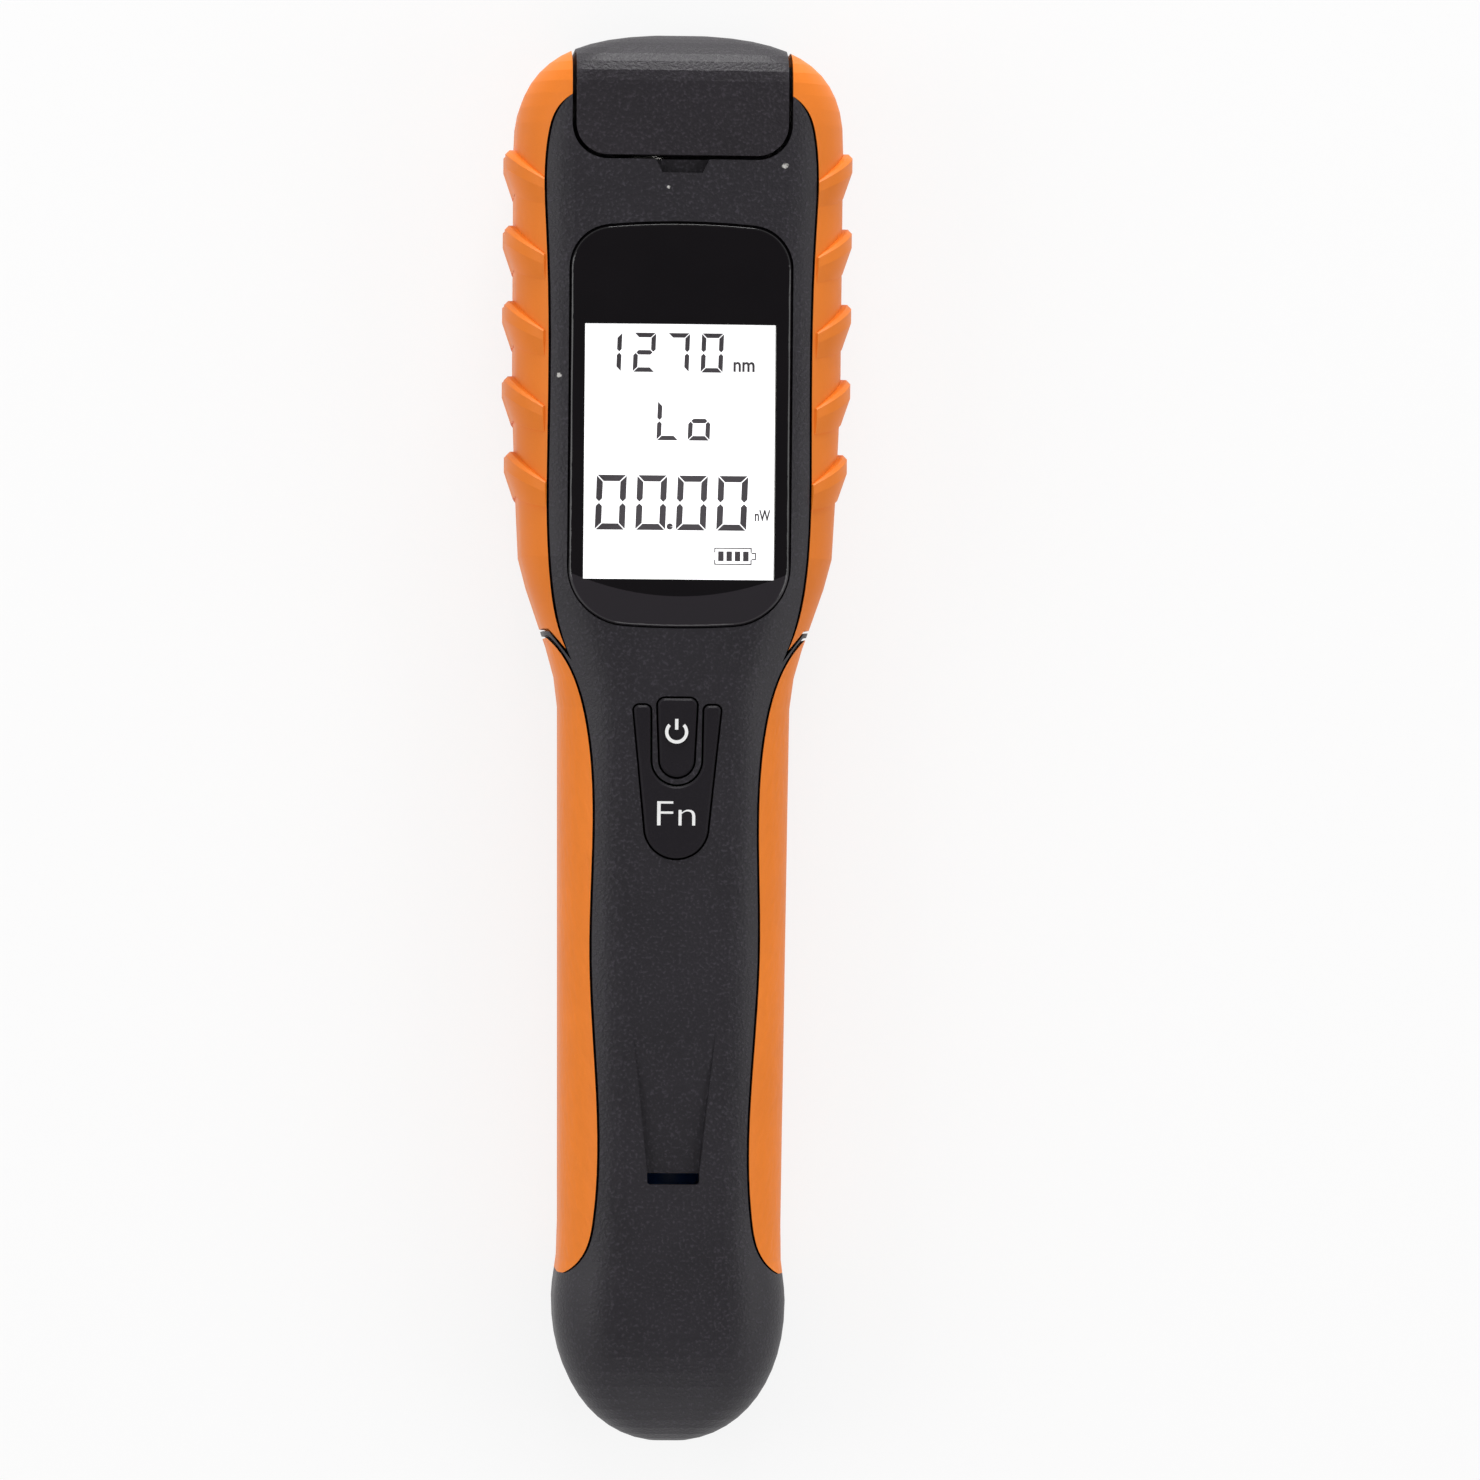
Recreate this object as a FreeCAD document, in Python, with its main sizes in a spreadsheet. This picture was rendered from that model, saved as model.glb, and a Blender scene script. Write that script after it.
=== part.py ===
import FreeCAD, Part

import math
import os

import Sketcher

Vector = FreeCAD.Vector

# Driving sizes, in millimetres.
# The meter lies on its back: X across, Y along with the flip cap at +Y, Z out of the display.
SIZES = (
    ("length", 200.0, "cap crown to tail end"),
    ("head_half_width", 23.3, "half width of the head over the display"),
    ("shoulder_half_width", 22.6, "half width of the head just above the waist"),
    ("handle_half_width", 16.4, "half width of the handle at the keys"),
    ("handle_end_half_width", 15.75, "half width of the handle above the tail"),
    ("tail_half_width", 16.5, "half width of the tail bulb"),
    ("head_front", 31.0, "height of the display side of the head"),
    ("handle_front", 28.6, "height of the front of the handle"),
    ("handle_lift", 1.5, "height of the back of the handle above the rest plane"),
    ("rest_depth", 0.3, "how far the back would bulge below its flat rest faces"),
    ("parting_height", 15.0, "height of the parting plane"),
    ("corner_radius", 9.0, "radius of the long edges of the casing"),
    ("crown_radius", 160.0, "radius of the crowned front, across"),
    ("head_end_run", 16.25, "length over which the head rounds off in plan"),
    ("cap_crown_run", 7.8, "length over which the front rolls into the top end"),
    ("tail_run", 20.4, "length over which the tail rounds off"),
    ("shoulder_run", 25.0, "length over which the shoulder widens to the head"),
    ("front_run", 8.0, "length over which the front falls below the waist"),
    ("lift_run", 6.0, "length over which the back lifts off behind the tail bulb"),
    ("waist_top", 70.0, "from the crown to the start of the waist"),
    ("waist_bottom", 96.0, "from the crown to the end of the waist"),
    ("tail_neck", 28.0, "from the tail end to the start of the tail bulb"),
    ("bulb_rise", 8.0, "length over which the tail bulb swells"),
    ("side_wall", 3.3, "side wall, grip seat included"),
    ("face_wall", 2.8, "front and back wall"),
    ("lip_height", 1.2, "height of the locating lip on the rear shell"),
    ("lip_wall", 0.8, "thickness of the locating lip"),
    ("lip_gap", 0.1, "clearance round the locating lip"),
    ("grip_depth", 1.7, "depth of the seat that the rubber grips fill"),
    ("grip_bond", 0.1, "bond line under the grips"),
    ("grip_groove", 0.35, "groove between the edge of a grip and the shell"),
    ("grip_wrap", 4.55, "how far an upper grip reaches in from the side of the head"),
    ("grip_end_wrap", 2.6, "the same at the lower end of an upper grip"),
    ("lower_wrap", 3.9, "how far a lower grip reaches in below the waist"),
    ("lower_end_wrap", 4.8, "the same just above the tail"),
    ("horn_length", 9.0, "length of the grip's flat inner face beside the cap"),
    ("upper_grip_end", 89.0, "from the crown to the tip of an upper grip"),
    ("upper_grip_side_end", 84.8, "from the crown to the lower end of an upper grip at the side"),
    ("upper_grip_tip_gap", 0.7, "how far that end stays in from the side of the casing"),
    ("lower_grip_start", 85.4, "from the crown to the start of a lower grip at the side"),
    ("lower_grip_blunt", 0.5, "reach of a lower grip at its blunt upper end"),
    ("lower_grip_end", 24.2, "from the tail end to the tip of a lower grip"),
    ("rib_first", 16.6, "from the crown to the first grip rib"),
    ("rib_pitch", 10.72, "pitch of the grip ribs"),
    ("rib_height", 1.25, "height of a grip rib at the side"),
    ("rib_flat", 2.5, "length of the flat crest of a rib"),
    ("rib_length", 6.2, "length of a rib at the side"),
    ("rib_sweep", 4.3, "how far a rib runs down towards its ends"),
    ("rib_margin", 0.15, "gap between the end of a rib and the edge of its grip"),
    ("rib_root", 0.8, "how deep a rib reaches into its grip"),
    ("cap_half_width", 15.0, "half width of the flip cap"),
    ("cap_depth", 17.5, "from the crown to the lower edge of the cap"),
    ("cap_corner", 4.5, "corner radius of the cap's lower edge"),
    ("cap_gap", 0.6, "gap round the cap"),
    ("cap_wall", 1.8, "wall of the cap"),
    ("cap_back", 7.0, "height of the cap's rear edge"),
    ("hinge_inset", 7.2, "from the crown to the hinge axis"),
    ("hinge_height", 7.0, "height of the hinge axis"),
    ("barrel_radius", 2.8, "outer radius of the hinge barrel"),
    ("barrel_gap", 0.4, "gap between the barrel and the back wall"),
    ("pin_radius", 1.0, "radius of the hinge pin"),
    ("pin_fit", 0.05, "radial clearance of the hinge pin"),
    ("pin_half_length", 17.8, "half length of the hinge pin"),
    ("seal_radius", 3.6, "radius of the seal pad in the cap"),
    ("seal_gap", 0.3, "gap between the closed seal pad and the optical port"),
    ("notch_top_half_width", 4.3, "half width of the nail notch at the cap"),
    ("notch_half_width", 2.85, "half width of the nail notch at its foot"),
    ("notch_length", 1.9, "length of the nail notch"),
    ("notch_depth", 1.3, "depth of the nail notch"),
    ("plate_lip", 0.7, "wall between the cap bay and the port plate"),
    ("plate_thickness", 2.0, "thickness of the port plate"),
    ("plate_half_width", 19.0, "half width of the port plate"),
    ("plate_bottom", 1.9, "height of the lower edge of the port plate"),
    ("plate_top_cover", 2.6, "casing left in front of the port plate"),
    ("plate_corner", 6.5, "corner radius of the port plate"),
    ("plate_gap", 0.1, "clearance of the port plate in its groove"),
    ("port_height", 17.0, "height of the axes of both ports"),
    ("port_offset", 5.0, "distance of the optical axis from the middle, towards -X"),
    ("collar_radius", 4.0, "thread radius of the optical collar"),
    ("collar_length", 6.5, "length of the optical collar"),
    ("flange_radius", 5.2, "radius of the adapter flange"),
    ("flange_thickness", 1.5, "thickness of the adapter flange"),
    ("adapter_neck_radius", 3.4, "radius of the adapter behind the plate"),
    ("adapter_neck_gap", 0.1, "clearance of the adapter in the plate"),
    ("adapter_tail", 6.6, "length of the adapter behind the plate's outer face"),
    ("sleeve_radius", 1.6, "outer radius of the ferrule sleeve"),
    ("sleeve_fit", 0.05, "radial clearance of the ferrule sleeve"),
    ("ferrule_bore", 1.255, "bore radius of the ferrule sleeve"),
    ("sleeve_length", 8.0, "length of the ferrule sleeve"),
    ("mouth_wall", 0.6, "lip that keeps the sleeve in the adapter"),
    ("mouth_radius", 1.45, "radius of the adapter's mouth"),
    ("nut_flats", 9.4, "width of the adapter nut across its flats"),
    ("nut_thickness", 2.0, "thickness of the adapter nut"),
    ("aperture_radius", 1.45, "radius of the light path behind the sleeve"),
    ("aperture_length", 1.7, "length of the light path behind the sleeve"),
    ("diode_radius", 2.35, "radius of the photodiode can"),
    ("diode_length", 4.4, "length of the photodiode can"),
    ("diode_fit", 0.1, "radial clearance of the photodiode"),
    ("diode_stand", 1.9, "length of the photodiode legs above the port board"),
    ("leg_radius", 0.23, "radius of a photodiode leg"),
    ("leg_spacing", 1.27, "distance of a leg from the photodiode's axis"),
    ("usb_offset", 7.5, "distance of the charging socket from the middle"),
    ("usb_width", 7.8, "width of the charging socket"),
    ("usb_height", 3.2, "height of the charging socket"),
    ("usb_wall", 0.35, "wall of the charging socket"),
    ("usb_proud", 1.0, "how far the charging socket stands past the plate"),
    ("usb_gap", 0.2, "clearance of the charging socket in the plate"),
    ("tongue_width", 5.0, "width of the contact tongue"),
    ("tongue_thickness", 0.8, "thickness of the contact tongue"),
    ("tongue_recess", 1.2, "how far the tongue stays below the socket's mouth"),
    ("socket_floor", 1.0, "floor of the charging socket"),
    ("board_thickness", 1.6, "thickness of the circuit boards"),
    ("board_margin", 4.2, "gap between the main board and the side wall of the head"),
    ("neck_margin", 2.6, "gap between the main board and the side wall of the handle"),
    ("board_start", 28.0, "from the crown to the upper edge of the main board"),
    ("board_step", 79.0, "from the crown to where the main board narrows"),
    ("board_end", 123.0, "from the crown to the lower edge of the main board"),
    ("port_board_inset", 0.8, "from the main board's upper edge to the port board"),
    ("port_board_half_width", 12.8, "half width of the port board"),
    ("port_board_drop", 12.6, "how far the port board hangs under the main board"),
    ("lens_width", 31.4, "width of the display lens"),
    ("lens_length", 57.2, "length of the display lens"),
    ("lens_centre", 55.6, "from the crown to the middle of the lens"),
    ("lens_top_corner", 6.0, "upper corner radius of the lens"),
    ("lens_bottom_corner", 8.5, "lower corner radius of the lens"),
    ("lens_bow", 1.1, "bow of the lens's upper and lower edges"),
    ("lens_thickness", 1.2, "thickness of the lens"),
    ("lens_sink", 0.1, "how far the lens lies below the shell"),
    ("lens_gap", 0.15, "clearance round the lens"),
    ("lens_edge", 0.6, "rounding of the lens's edge"),
    ("gasket_thickness", 0.4, "thickness of the lens gasket"),
    ("gasket_inset", 0.6, "from the lens's edge to the gasket"),
    ("view_width", 27.1, "width of the visible display"),
    ("view_length", 36.6, "length of the visible display"),
    ("view_centre", 59.1, "from the crown to the middle of the display"),
    ("window_margin", 0.7, "shell window past the visible display"),
    ("display_border", 1.95, "frame width round the visible display"),
    ("display_end_border", 3.2, "frame width above and below the display"),
    ("frame_wall", 0.9, "wall of the display frame"),
    ("frame_height", 5.0, "height of the display frame"),
    ("frame_lip", 0.5, "lip of the display frame over the panel"),
    ("frame_gap", 0.5, "gap between the display frame and the front wall"),
    ("frame_room", 0.3, "gap cut into the wall round the display frame"),
    ("panel_gap", 0.1, "clearance round the display panel"),
    ("panel_thickness", 1.9, "thickness of the display panel"),
    ("backlight_thickness", 2.3, "thickness of the backlight"),
    ("strip_width", 1.8, "width of the contact strip"),
    ("strip_gap", 0.4, "gap beside the contact strip"),
    ("power_half_width", 2.8, "half width of the power key at the top"),
    ("power_end_half_width", 2.4, "half width of the power key at its round end"),
    ("power_length", 11.1, "length of the power key"),
    ("power_corner", 1.0, "radius of the power key's upper corners"),
    ("power_start", 94.2, "from the crown to the upper edge of the power key"),
    ("fn_start", 95.2, "from the crown to the upper ends of the function key"),
    ("fn_half_width", 6.2, "half width of the function key over its arms"),
    ("fn_end_half_width", 4.45, "half width of the function key at its round end"),
    ("fn_length", 21.6, "length of the function key"),
    ("fn_corner", 0.7, "radius of the ends of the function key's arms"),
    ("key_spacing", 1.35, "distance between the two keys"),
    ("key_gap", 0.3, "gap between a key and the shell"),
    ("key_proud", 0.35, "how far a key stands above the shell"),
    ("key_edge", 0.3, "bevel of a key's upper edge"),
    ("key_flange", 0.6, "how far a key's foot reaches under the shell"),
    ("flange_gap", 0.15, "gap between a key's foot and the shell"),
    ("switch_width", 6.0, "width of a key switch"),
    ("switch_height", 2.0, "height of a key switch"),
    ("plunger_radius", 1.2, "radius of a switch plunger"),
    ("plunger_height", 0.7, "height of a plunger above its switch"),
    ("plunger_depth", 0.8, "how deep a plunger reaches into its switch"),
    ("plunger_gap", 0.15, "radial clearance of a plunger"),
    ("plunger_travel", 0.5, "free depth under a plunger"),
    ("power_switch_inset", 6.0, "from the power key's upper edge to its switch"),
    ("fn_switch_inset", 17.8, "from the function key's upper ends to its switch"),
    ("cell_radius", 7.05, "radius of the battery cell"),
    ("cell_length", 50.0, "length of the battery cell"),
    ("cell_inset", 22.0, "from the tail end to the battery cell"),
    ("cell_lift", 1.0, "gap between the cell and the back wall"),
    ("cell_gap", 0.25, "clearance of the cell in its cradles"),
    ("cap_disc_radius", 2.8, "radius of the cell's end contact"),
    ("cap_disc_height", 0.9, "height of the cell's end contact"),
    ("cradle_thickness", 1.6, "thickness of a cradle rib"),
    ("cradle_rise", 3.6, "how far the cradles stop short of the cell's axis"),
    ("lead_radius", 0.65, "radius of a battery lead"),
    ("lead_spacing", 1.6, "distance of a lead from the middle"),
    ("lead_rise", 1.75, "depth of the leads under the main board"),
    ("connector_width", 7.0, "width of the battery connector"),
    ("connector_length", 6.0, "length of the battery connector"),
    ("connector_height", 3.4, "height of the battery connector"),
    ("connector_inset", 6.0, "from the main board's lower edge to the connector"),
    ("chip_thickness", 1.4, "thickness of the chips"),
    ("processor_width", 10.0, "width of the microcontroller"),
    ("processor_inset", 44.0, "from the crown to the microcontroller's upper edge"),
    ("amplifier_width", 5.0, "width of the amplifier chip"),
    ("amplifier_length", 6.2, "length of the amplifier chip"),
    ("charger_width", 4.0, "width of the charger chip"),
    ("boss_radius", 2.3, "radius of a screw boss"),
    ("screw_radius", 1.0, "radius of a case screw"),
    ("screw_gap", 0.05, "radial clearance of a screw in its boss"),
    ("screw_clear", 0.25, "radial clearance of a screw in the rear shell"),
    ("screw_head_radius", 1.9, "radius of a screw head"),
    ("screw_head_height", 1.3, "height of a screw head"),
    ("head_edge", 0.4, "bevel of a screw head"),
    ("drive_width", 0.5, "width of the cross recess in a screw head"),
    ("drive_reach", 1.1, "half length of the cross recess"),
    ("drive_depth", 0.6, "depth of the cross recess"),
    ("screw_bite", 7.0, "length of a case screw in the front shell"),
    ("screw_seat", 3.2, "height of a case screw's seat above the back"),
    ("head_screw_x", 16.6, "distance of the head screws from the middle"),
    ("head_screw_inset", 23.5, "from the crown to the head screws"),
    ("waist_screw_x", 13.2, "distance of the waist screws from the middle"),
    ("waist_screw_inset", 88.0, "from the crown to the waist screws"),
    ("tail_screw_x", 8.5, "distance of the tail screws from the middle"),
    ("tail_screw_inset", 14.0, "from the tail end to the tail screws"),
    ("board_screw_radius", 0.8, "radius of a board screw"),
    ("board_screw_head", 1.6, "radius of a board screw's head"),
    ("board_screw_head_height", 1.0, "height of a board screw's head"),
    ("board_screw_bite", 3.0, "length of a board screw in the front shell"),
    ("board_screw_x", 13.4, "distance of the upper board screws from the middle"),
    ("board_screw_inset", 33.6, "from the crown to the upper board screws"),
    ("neck_screw_x", 7.6, "distance of the lower board screws from the middle"),
    ("neck_screw_inset", 119.5, "from the crown to the lower board screws"),
    ("board_boss_radius", 1.9, "radius of a board boss"),
    ("recess_start", 140.0, "from the crown to the start of the strap recess"),
    ("recess_length", 21.4, "length of the strap recess"),
    ("recess_half_width", 6.0, "half width of the strap recess at its start"),
    ("recess_end_half_width", 3.7, "half width of the strap recess at its end"),
    ("recess_depth", 1.5, "depth of the strap recess at its end"),
    ("slot_width", 1.6, "width of the strap slot"),
    ("slot_corner", 0.5, "corner radius of the strap slot"),
)

# Places worked out from the driving sizes.
PLACES = (
    ("crown_y", "=length / 2"),
    ("tail_y", "=-length / 2"),
    ("cap_y", "=crown_y - cap_depth"),
    ("bay_y", "=cap_y - cap_gap"),
    ("bay_half_width", "=cap_half_width + cap_gap"),
    ("hinge_y", "=crown_y - hinge_inset"),
    ("plate_y", "=bay_y - plate_lip"),
    ("plate_top", "=head_front - plate_top_cover"),
    ("plate_height", "=plate_top - plate_bottom"),
    ("plate_middle", "=(plate_top + plate_bottom) / 2"),
    ("display_top", "=head_front - face_wall - window_drop - frame_gap"),
    ("window_drop", "=(view_width / 2 + window_margin)^2 / (2 * crown_radius)"),
    ("board_top", "=display_top - frame_height"),
    ("board_bottom", "=board_top - board_thickness"),
    ("board_half_width", "=head_half_width - side_wall - board_margin"),
    ("neck_half_width", "=handle_half_width - side_wall - neck_margin"),
    ("port_board_y", "=crown_y - board_start - port_board_inset"),
    ("lens_y", "=crown_y - lens_centre"),
    ("view_y", "=crown_y - view_centre"),
    ("power_y", "=crown_y - power_start"),
    ("fn_y", "=crown_y - fn_start"),
    ("power_switch_y", "=power_y - power_switch_inset"),
    ("fn_switch_y", "=fn_y - fn_switch_inset"),
    ("plunger_top", "=board_top + switch_height + plunger_height"),
    ("cell_y", "=tail_y + cell_inset"),
    ("cell_z", "=handle_lift + face_wall + cell_lift + cell_radius"),
    ("collar_end_y", "=plate_y + flange_thickness + collar_length"),
    ("connector_y", "=crown_y - board_end + connector_inset"),
)

# Numbers of repeated features and of curve stations.
RIB_COUNT = 5
END_STATIONS = 12
CROWN_STATIONS = 7
RIB_STATIONS = 9

# Exponents of the superellipses that round the head and the tail.
HEAD_PLAN_POWER = 2.65
HEAD_SIDE_POWER = 2.2
TAIL_PLAN_POWER = 2.15
TAIL_SIDE_POWER = 2.3

# Share of the full width that is left at the last station of each end.
HEAD_END_SHARE = 0.2
TAIL_END_SHARE = 0.17

# Share of the full depth that is left at the crown.
CROWN_END_SHARE = 0.45

# How much further the tip of an upper grip draws back than its edges.
TIP_DRAW = 5.0

# Inner edge of an upper grip below its horn: distance from the horn, and reach past the full one.
HORN_EDGE = ((2.8, 0.65), (5.8, 0.1), (20.0, 0.0))

# Inner edge of an upper grip at the waist: where the full reach ends and where the tip's begins.
WAIST_EDGE_START = 12.0
WAIST_EDGE_MIDDLE = 7.2
TIP_EDGE = 6.1

# How far the lower end of an upper grip would rise past the side of the casing.
SIDE_END_RISE = 2.0

# Inner edge of a lower grip: distance from its start, or from its tip, and share of the full reach.
LOWER_START_EDGE = ((4.6, 0.6), (8.6, 0.8), (12.6, 1.0))
LOWER_TIP_EDGE = ((7.5, 1.0), (3.5, 0.8), (1.3, 0.54), (0.0, 0.23))

# How far a lower grip's tip falls past its inner edge.
LOWER_TIP_FALL = 0.6

# Shape of a rib: how it sweeps down, fades, shortens and bevels towards its ends.
RIB_SWEEP_POWER = 0.75
RIB_FADE = 0.7
RIB_FADE_POWER = 1.3
RIB_SHORTENING = 0.42
RIB_BEVEL = 0.45

# Places of the cradles along the battery cell, as shares of its length.
CRADLE_SHARES = (0.12, 0.5, 0.88)

# Share of a battery lead's run that is straight at each end, and of a run that an arc may use.
STRAIGHT_SHARE = 0.3
ARC_SHARE = 0.45

# Reach of cutting tools past the casing, and past what they cut inside it.
REACH = 30.0
MARGIN = 1.0

# Distance below which two places count as one.
TOUCH = 1e-6

# The same between an edge and the curved surface that it lies on.
SURFACE_TOUCH = 1e-3

document = FreeCAD.newDocument("optical_power_meter")
sheet = document.addObject("Spreadsheet::Sheet", "sizes")
sub_parts = []


def fill_sheet():
    """Write the driving sizes as plain numbers and the places as formulas, each with its alias."""
    row = 1
    for alias, value, note in SIZES:
        sheet.set(f"A{row}", note)
        sheet.set(f"B{row}", str(value))
        sheet.setAlias(f"B{row}", alias)
        row += 1
    for alias, formula in PLACES:
        sheet.set(f"B{row}", formula)
        sheet.setAlias(f"B{row}", alias)
        row += 1
    document.recompute()


def size(alias):
    """Return the value of a cell of the sheet."""
    return float(sheet.get(alias))


def ease(share):
    """Return a share eased at both ends, held between 0 and 1."""
    held = max(0.0, min(1.0, share))
    return held * held * (3 - 2 * held)


def blend(y, low_y, high_y, low_value, high_value):
    """Return a value that eases from low_value at low_y to high_value at high_y."""
    return low_value + (high_value - low_value) * ease((y - low_y) / (high_y - low_y))


def superellipse(distance, run, power):
    """Return the share of full size at a distance inside an end that rounds off over a run."""
    share = 1 - distance / run
    if share <= 0:
        return 1.0
    return (1 - min(share, 1.0) ** power) ** (1 / power)


def past_end(run, share, power):
    """Return how far a superellipse runs past an end that leaves a share of the full size."""
    return run * (1 - (1 - share ** power) ** (1 / power))


class Form:
    """Outer form of the casing, or the same form drawn inwards from its sides and its faces."""

    def __init__(self, side_inset=0.0, face_inset=0.0):
        self.side_inset = side_inset
        self.face_inset = face_inset
        self.crown_y = size("crown_y")
        self.tail_y = size("tail_y")
        self.middle = size("parting_height")
        self.waist_top_y = self.crown_y - size("waist_top")
        self.waist_bottom_y = self.crown_y - size("waist_bottom")
        self.head_past = past_end(size("head_end_run"), HEAD_END_SHARE, HEAD_PLAN_POWER)
        self.crown_past = past_end(size("cap_crown_run"), CROWN_END_SHARE, HEAD_SIDE_POWER)
        self.tail_past = past_end(size("tail_run"), TAIL_END_SHARE, TAIL_PLAN_POWER)

    def plain_half_width(self, y):
        """Half width before the ends round off."""
        neck_y = self.tail_y + size("tail_neck")
        bulb_y = neck_y - size("bulb_rise")
        handle_end = size("handle_end_half_width")
        if y < neck_y:
            return blend(y, bulb_y, neck_y, size("tail_half_width"), handle_end)
        handle = size("handle_half_width")
        if y < self.waist_bottom_y:
            share = (y - neck_y) / (self.waist_bottom_y - neck_y)
            return handle_end + (handle - handle_end) * share
        shoulder = size("shoulder_half_width")
        if y < self.waist_top_y:
            return blend(y, self.waist_bottom_y, self.waist_top_y, handle, shoulder)
        shoulder_end_y = self.waist_top_y + size("shoulder_run")
        return blend(y, self.waist_top_y, shoulder_end_y, shoulder, size("head_half_width"))

    def plain_front(self, y):
        """Height of the front before the ends round off."""
        drop_y = self.waist_bottom_y - size("front_run")
        return blend(y, drop_y, self.waist_top_y, size("handle_front"), size("head_front"))

    def plain_back(self, y):
        """Height of the back before the ends round off."""
        low = -size("rest_depth")
        lift = size("handle_lift")
        neck_y = self.tail_y + size("tail_neck")
        lift_end_y = neck_y + size("lift_run")
        if y < (lift_end_y + self.waist_bottom_y) / 2:
            return blend(y, neck_y - size("bulb_rise"), lift_end_y, low, lift)
        return blend(y, self.waist_bottom_y, self.waist_top_y, lift, low)

    def plan_share(self, y):
        """Share of the half width that the rounded ends leave at y."""
        head = self.crown_y + self.head_past - self.side_inset - y
        tail = y - self.tail_y + self.tail_past - self.side_inset
        head_run = size("head_end_run") - self.side_inset
        tail_run = size("tail_run") - self.side_inset
        head_share = superellipse(head, head_run, HEAD_PLAN_POWER)
        return head_share * superellipse(tail, tail_run, TAIL_PLAN_POWER)

    def side_share(self, y):
        """Share of the depth that the rounded ends leave at y."""
        head = self.crown_y + self.crown_past - self.face_inset - y
        tail = y - self.tail_y + self.tail_past - self.face_inset
        head_run = size("cap_crown_run") - self.face_inset
        tail_run = size("tail_run") - self.face_inset
        head_share = superellipse(head, head_run, HEAD_SIDE_POWER)
        return head_share * superellipse(tail, tail_run, TAIL_SIDE_POWER)

    def half_width(self, y):
        return (self.plain_half_width(y) - self.side_inset) * self.plan_share(y)

    def front(self, y):
        depth = self.plain_front(y) - self.face_inset - self.middle
        return self.middle + depth * self.side_share(y)

    def back(self, y):
        depth = self.middle - self.plain_back(y) - self.face_inset
        return self.middle - depth * self.side_share(y)

    def corner(self, y):
        inset = max(0.0, min(self.side_inset, self.face_inset))
        return (size("corner_radius") - inset) * self.plan_share(y)

    def front_corner(self, y):
        """Return the centre of the front corner arc and the angle where the crown meets it."""
        radius = self.corner(y)
        crown = size("crown_radius")
        centre_x = self.half_width(y) - radius
        rise = math.sqrt((crown - radius) ** 2 - centre_x ** 2)
        centre_z = self.front(y) - crown + rise
        return centre_x, centre_z, math.atan2(rise, centre_x)

    def side_point(self, y, angle):
        """Point on the wrapped side, by the direction of its normal: 0 is the front, 180 the back."""
        turn = math.radians(angle)
        radius = self.corner(y)
        centre_x, centre_z, crown_angle = self.front_corner(y)
        back_z = self.back(y) + radius
        if angle < 90:
            z = centre_z + radius * math.cos(turn)
        elif angle > 90:
            z = back_z + radius * math.cos(turn)
        else:
            z = (centre_z + back_z) / 2
        return centre_x + radius * math.sin(turn), z

    def section(self, y):
        """Closed section at y: crowned front, four rounded corners, straight sides and back."""
        width = self.half_width(y)
        front = self.front(y)
        back = self.back(y)
        radius = self.corner(y)
        centre_x, centre_z, crown_angle = self.front_corner(y)
        crown = size("crown_radius")
        meet_x = crown * math.cos(crown_angle)
        meet_z = front - crown + crown * math.sin(crown_angle)
        half_angle = crown_angle / 2
        mid_x = centre_x + radius * math.cos(half_angle)
        mid_z = centre_z + radius * math.sin(half_angle)
        bite = radius * (1 - math.sqrt(0.5))
        flat = width - radius

        def point(x, z):
            return Vector(x, y, z)

        edges = [
            Part.Arc(point(-meet_x, meet_z), point(0, front), point(meet_x, meet_z)),
            Part.Arc(point(meet_x, meet_z), point(mid_x, mid_z), point(width, centre_z)),
            Part.LineSegment(point(width, centre_z), point(width, back + radius)),
            Part.Arc(point(width, back + radius), point(width - bite, back + bite), point(flat, back)),
            Part.LineSegment(point(flat, back), point(-flat, back)),
            Part.Arc(point(-flat, back), point(bite - width, back + bite), point(-width, back + radius)),
            Part.LineSegment(point(-width, back + radius), point(-width, centre_z)),
            Part.Arc(point(-width, centre_z), point(-mid_x, mid_z), point(-meet_x, meet_z)),
        ]
        return Part.Wire([edge.toShape() for edge in edges])

    def crown_block(self, half_width, low_y, high_y):
        """Block under the crowned front between two Y values, down to the parting plane."""
        crown = size("crown_radius")
        drop = crown - math.sqrt(crown ** 2 - half_width ** 2)
        wires = []
        for step in range(CROWN_STATIONS + 1):
            y = low_y + (high_y - low_y) * step / CROWN_STATIONS
            front = self.front(y)
            left = Vector(-half_width, y, front - drop)
            right = Vector(half_width, y, front - drop)
            foot_right = Vector(half_width, y, self.middle)
            foot_left = Vector(-half_width, y, self.middle)
            edges = [Part.Arc(left, Vector(0, y, front), right).toShape()]
            edges += Part.makePolygon([right, foot_right, foot_left, left]).Edges
            wires.append(Part.Wire(edges))
        return Part.makeLoft(wires, True, False)

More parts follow.
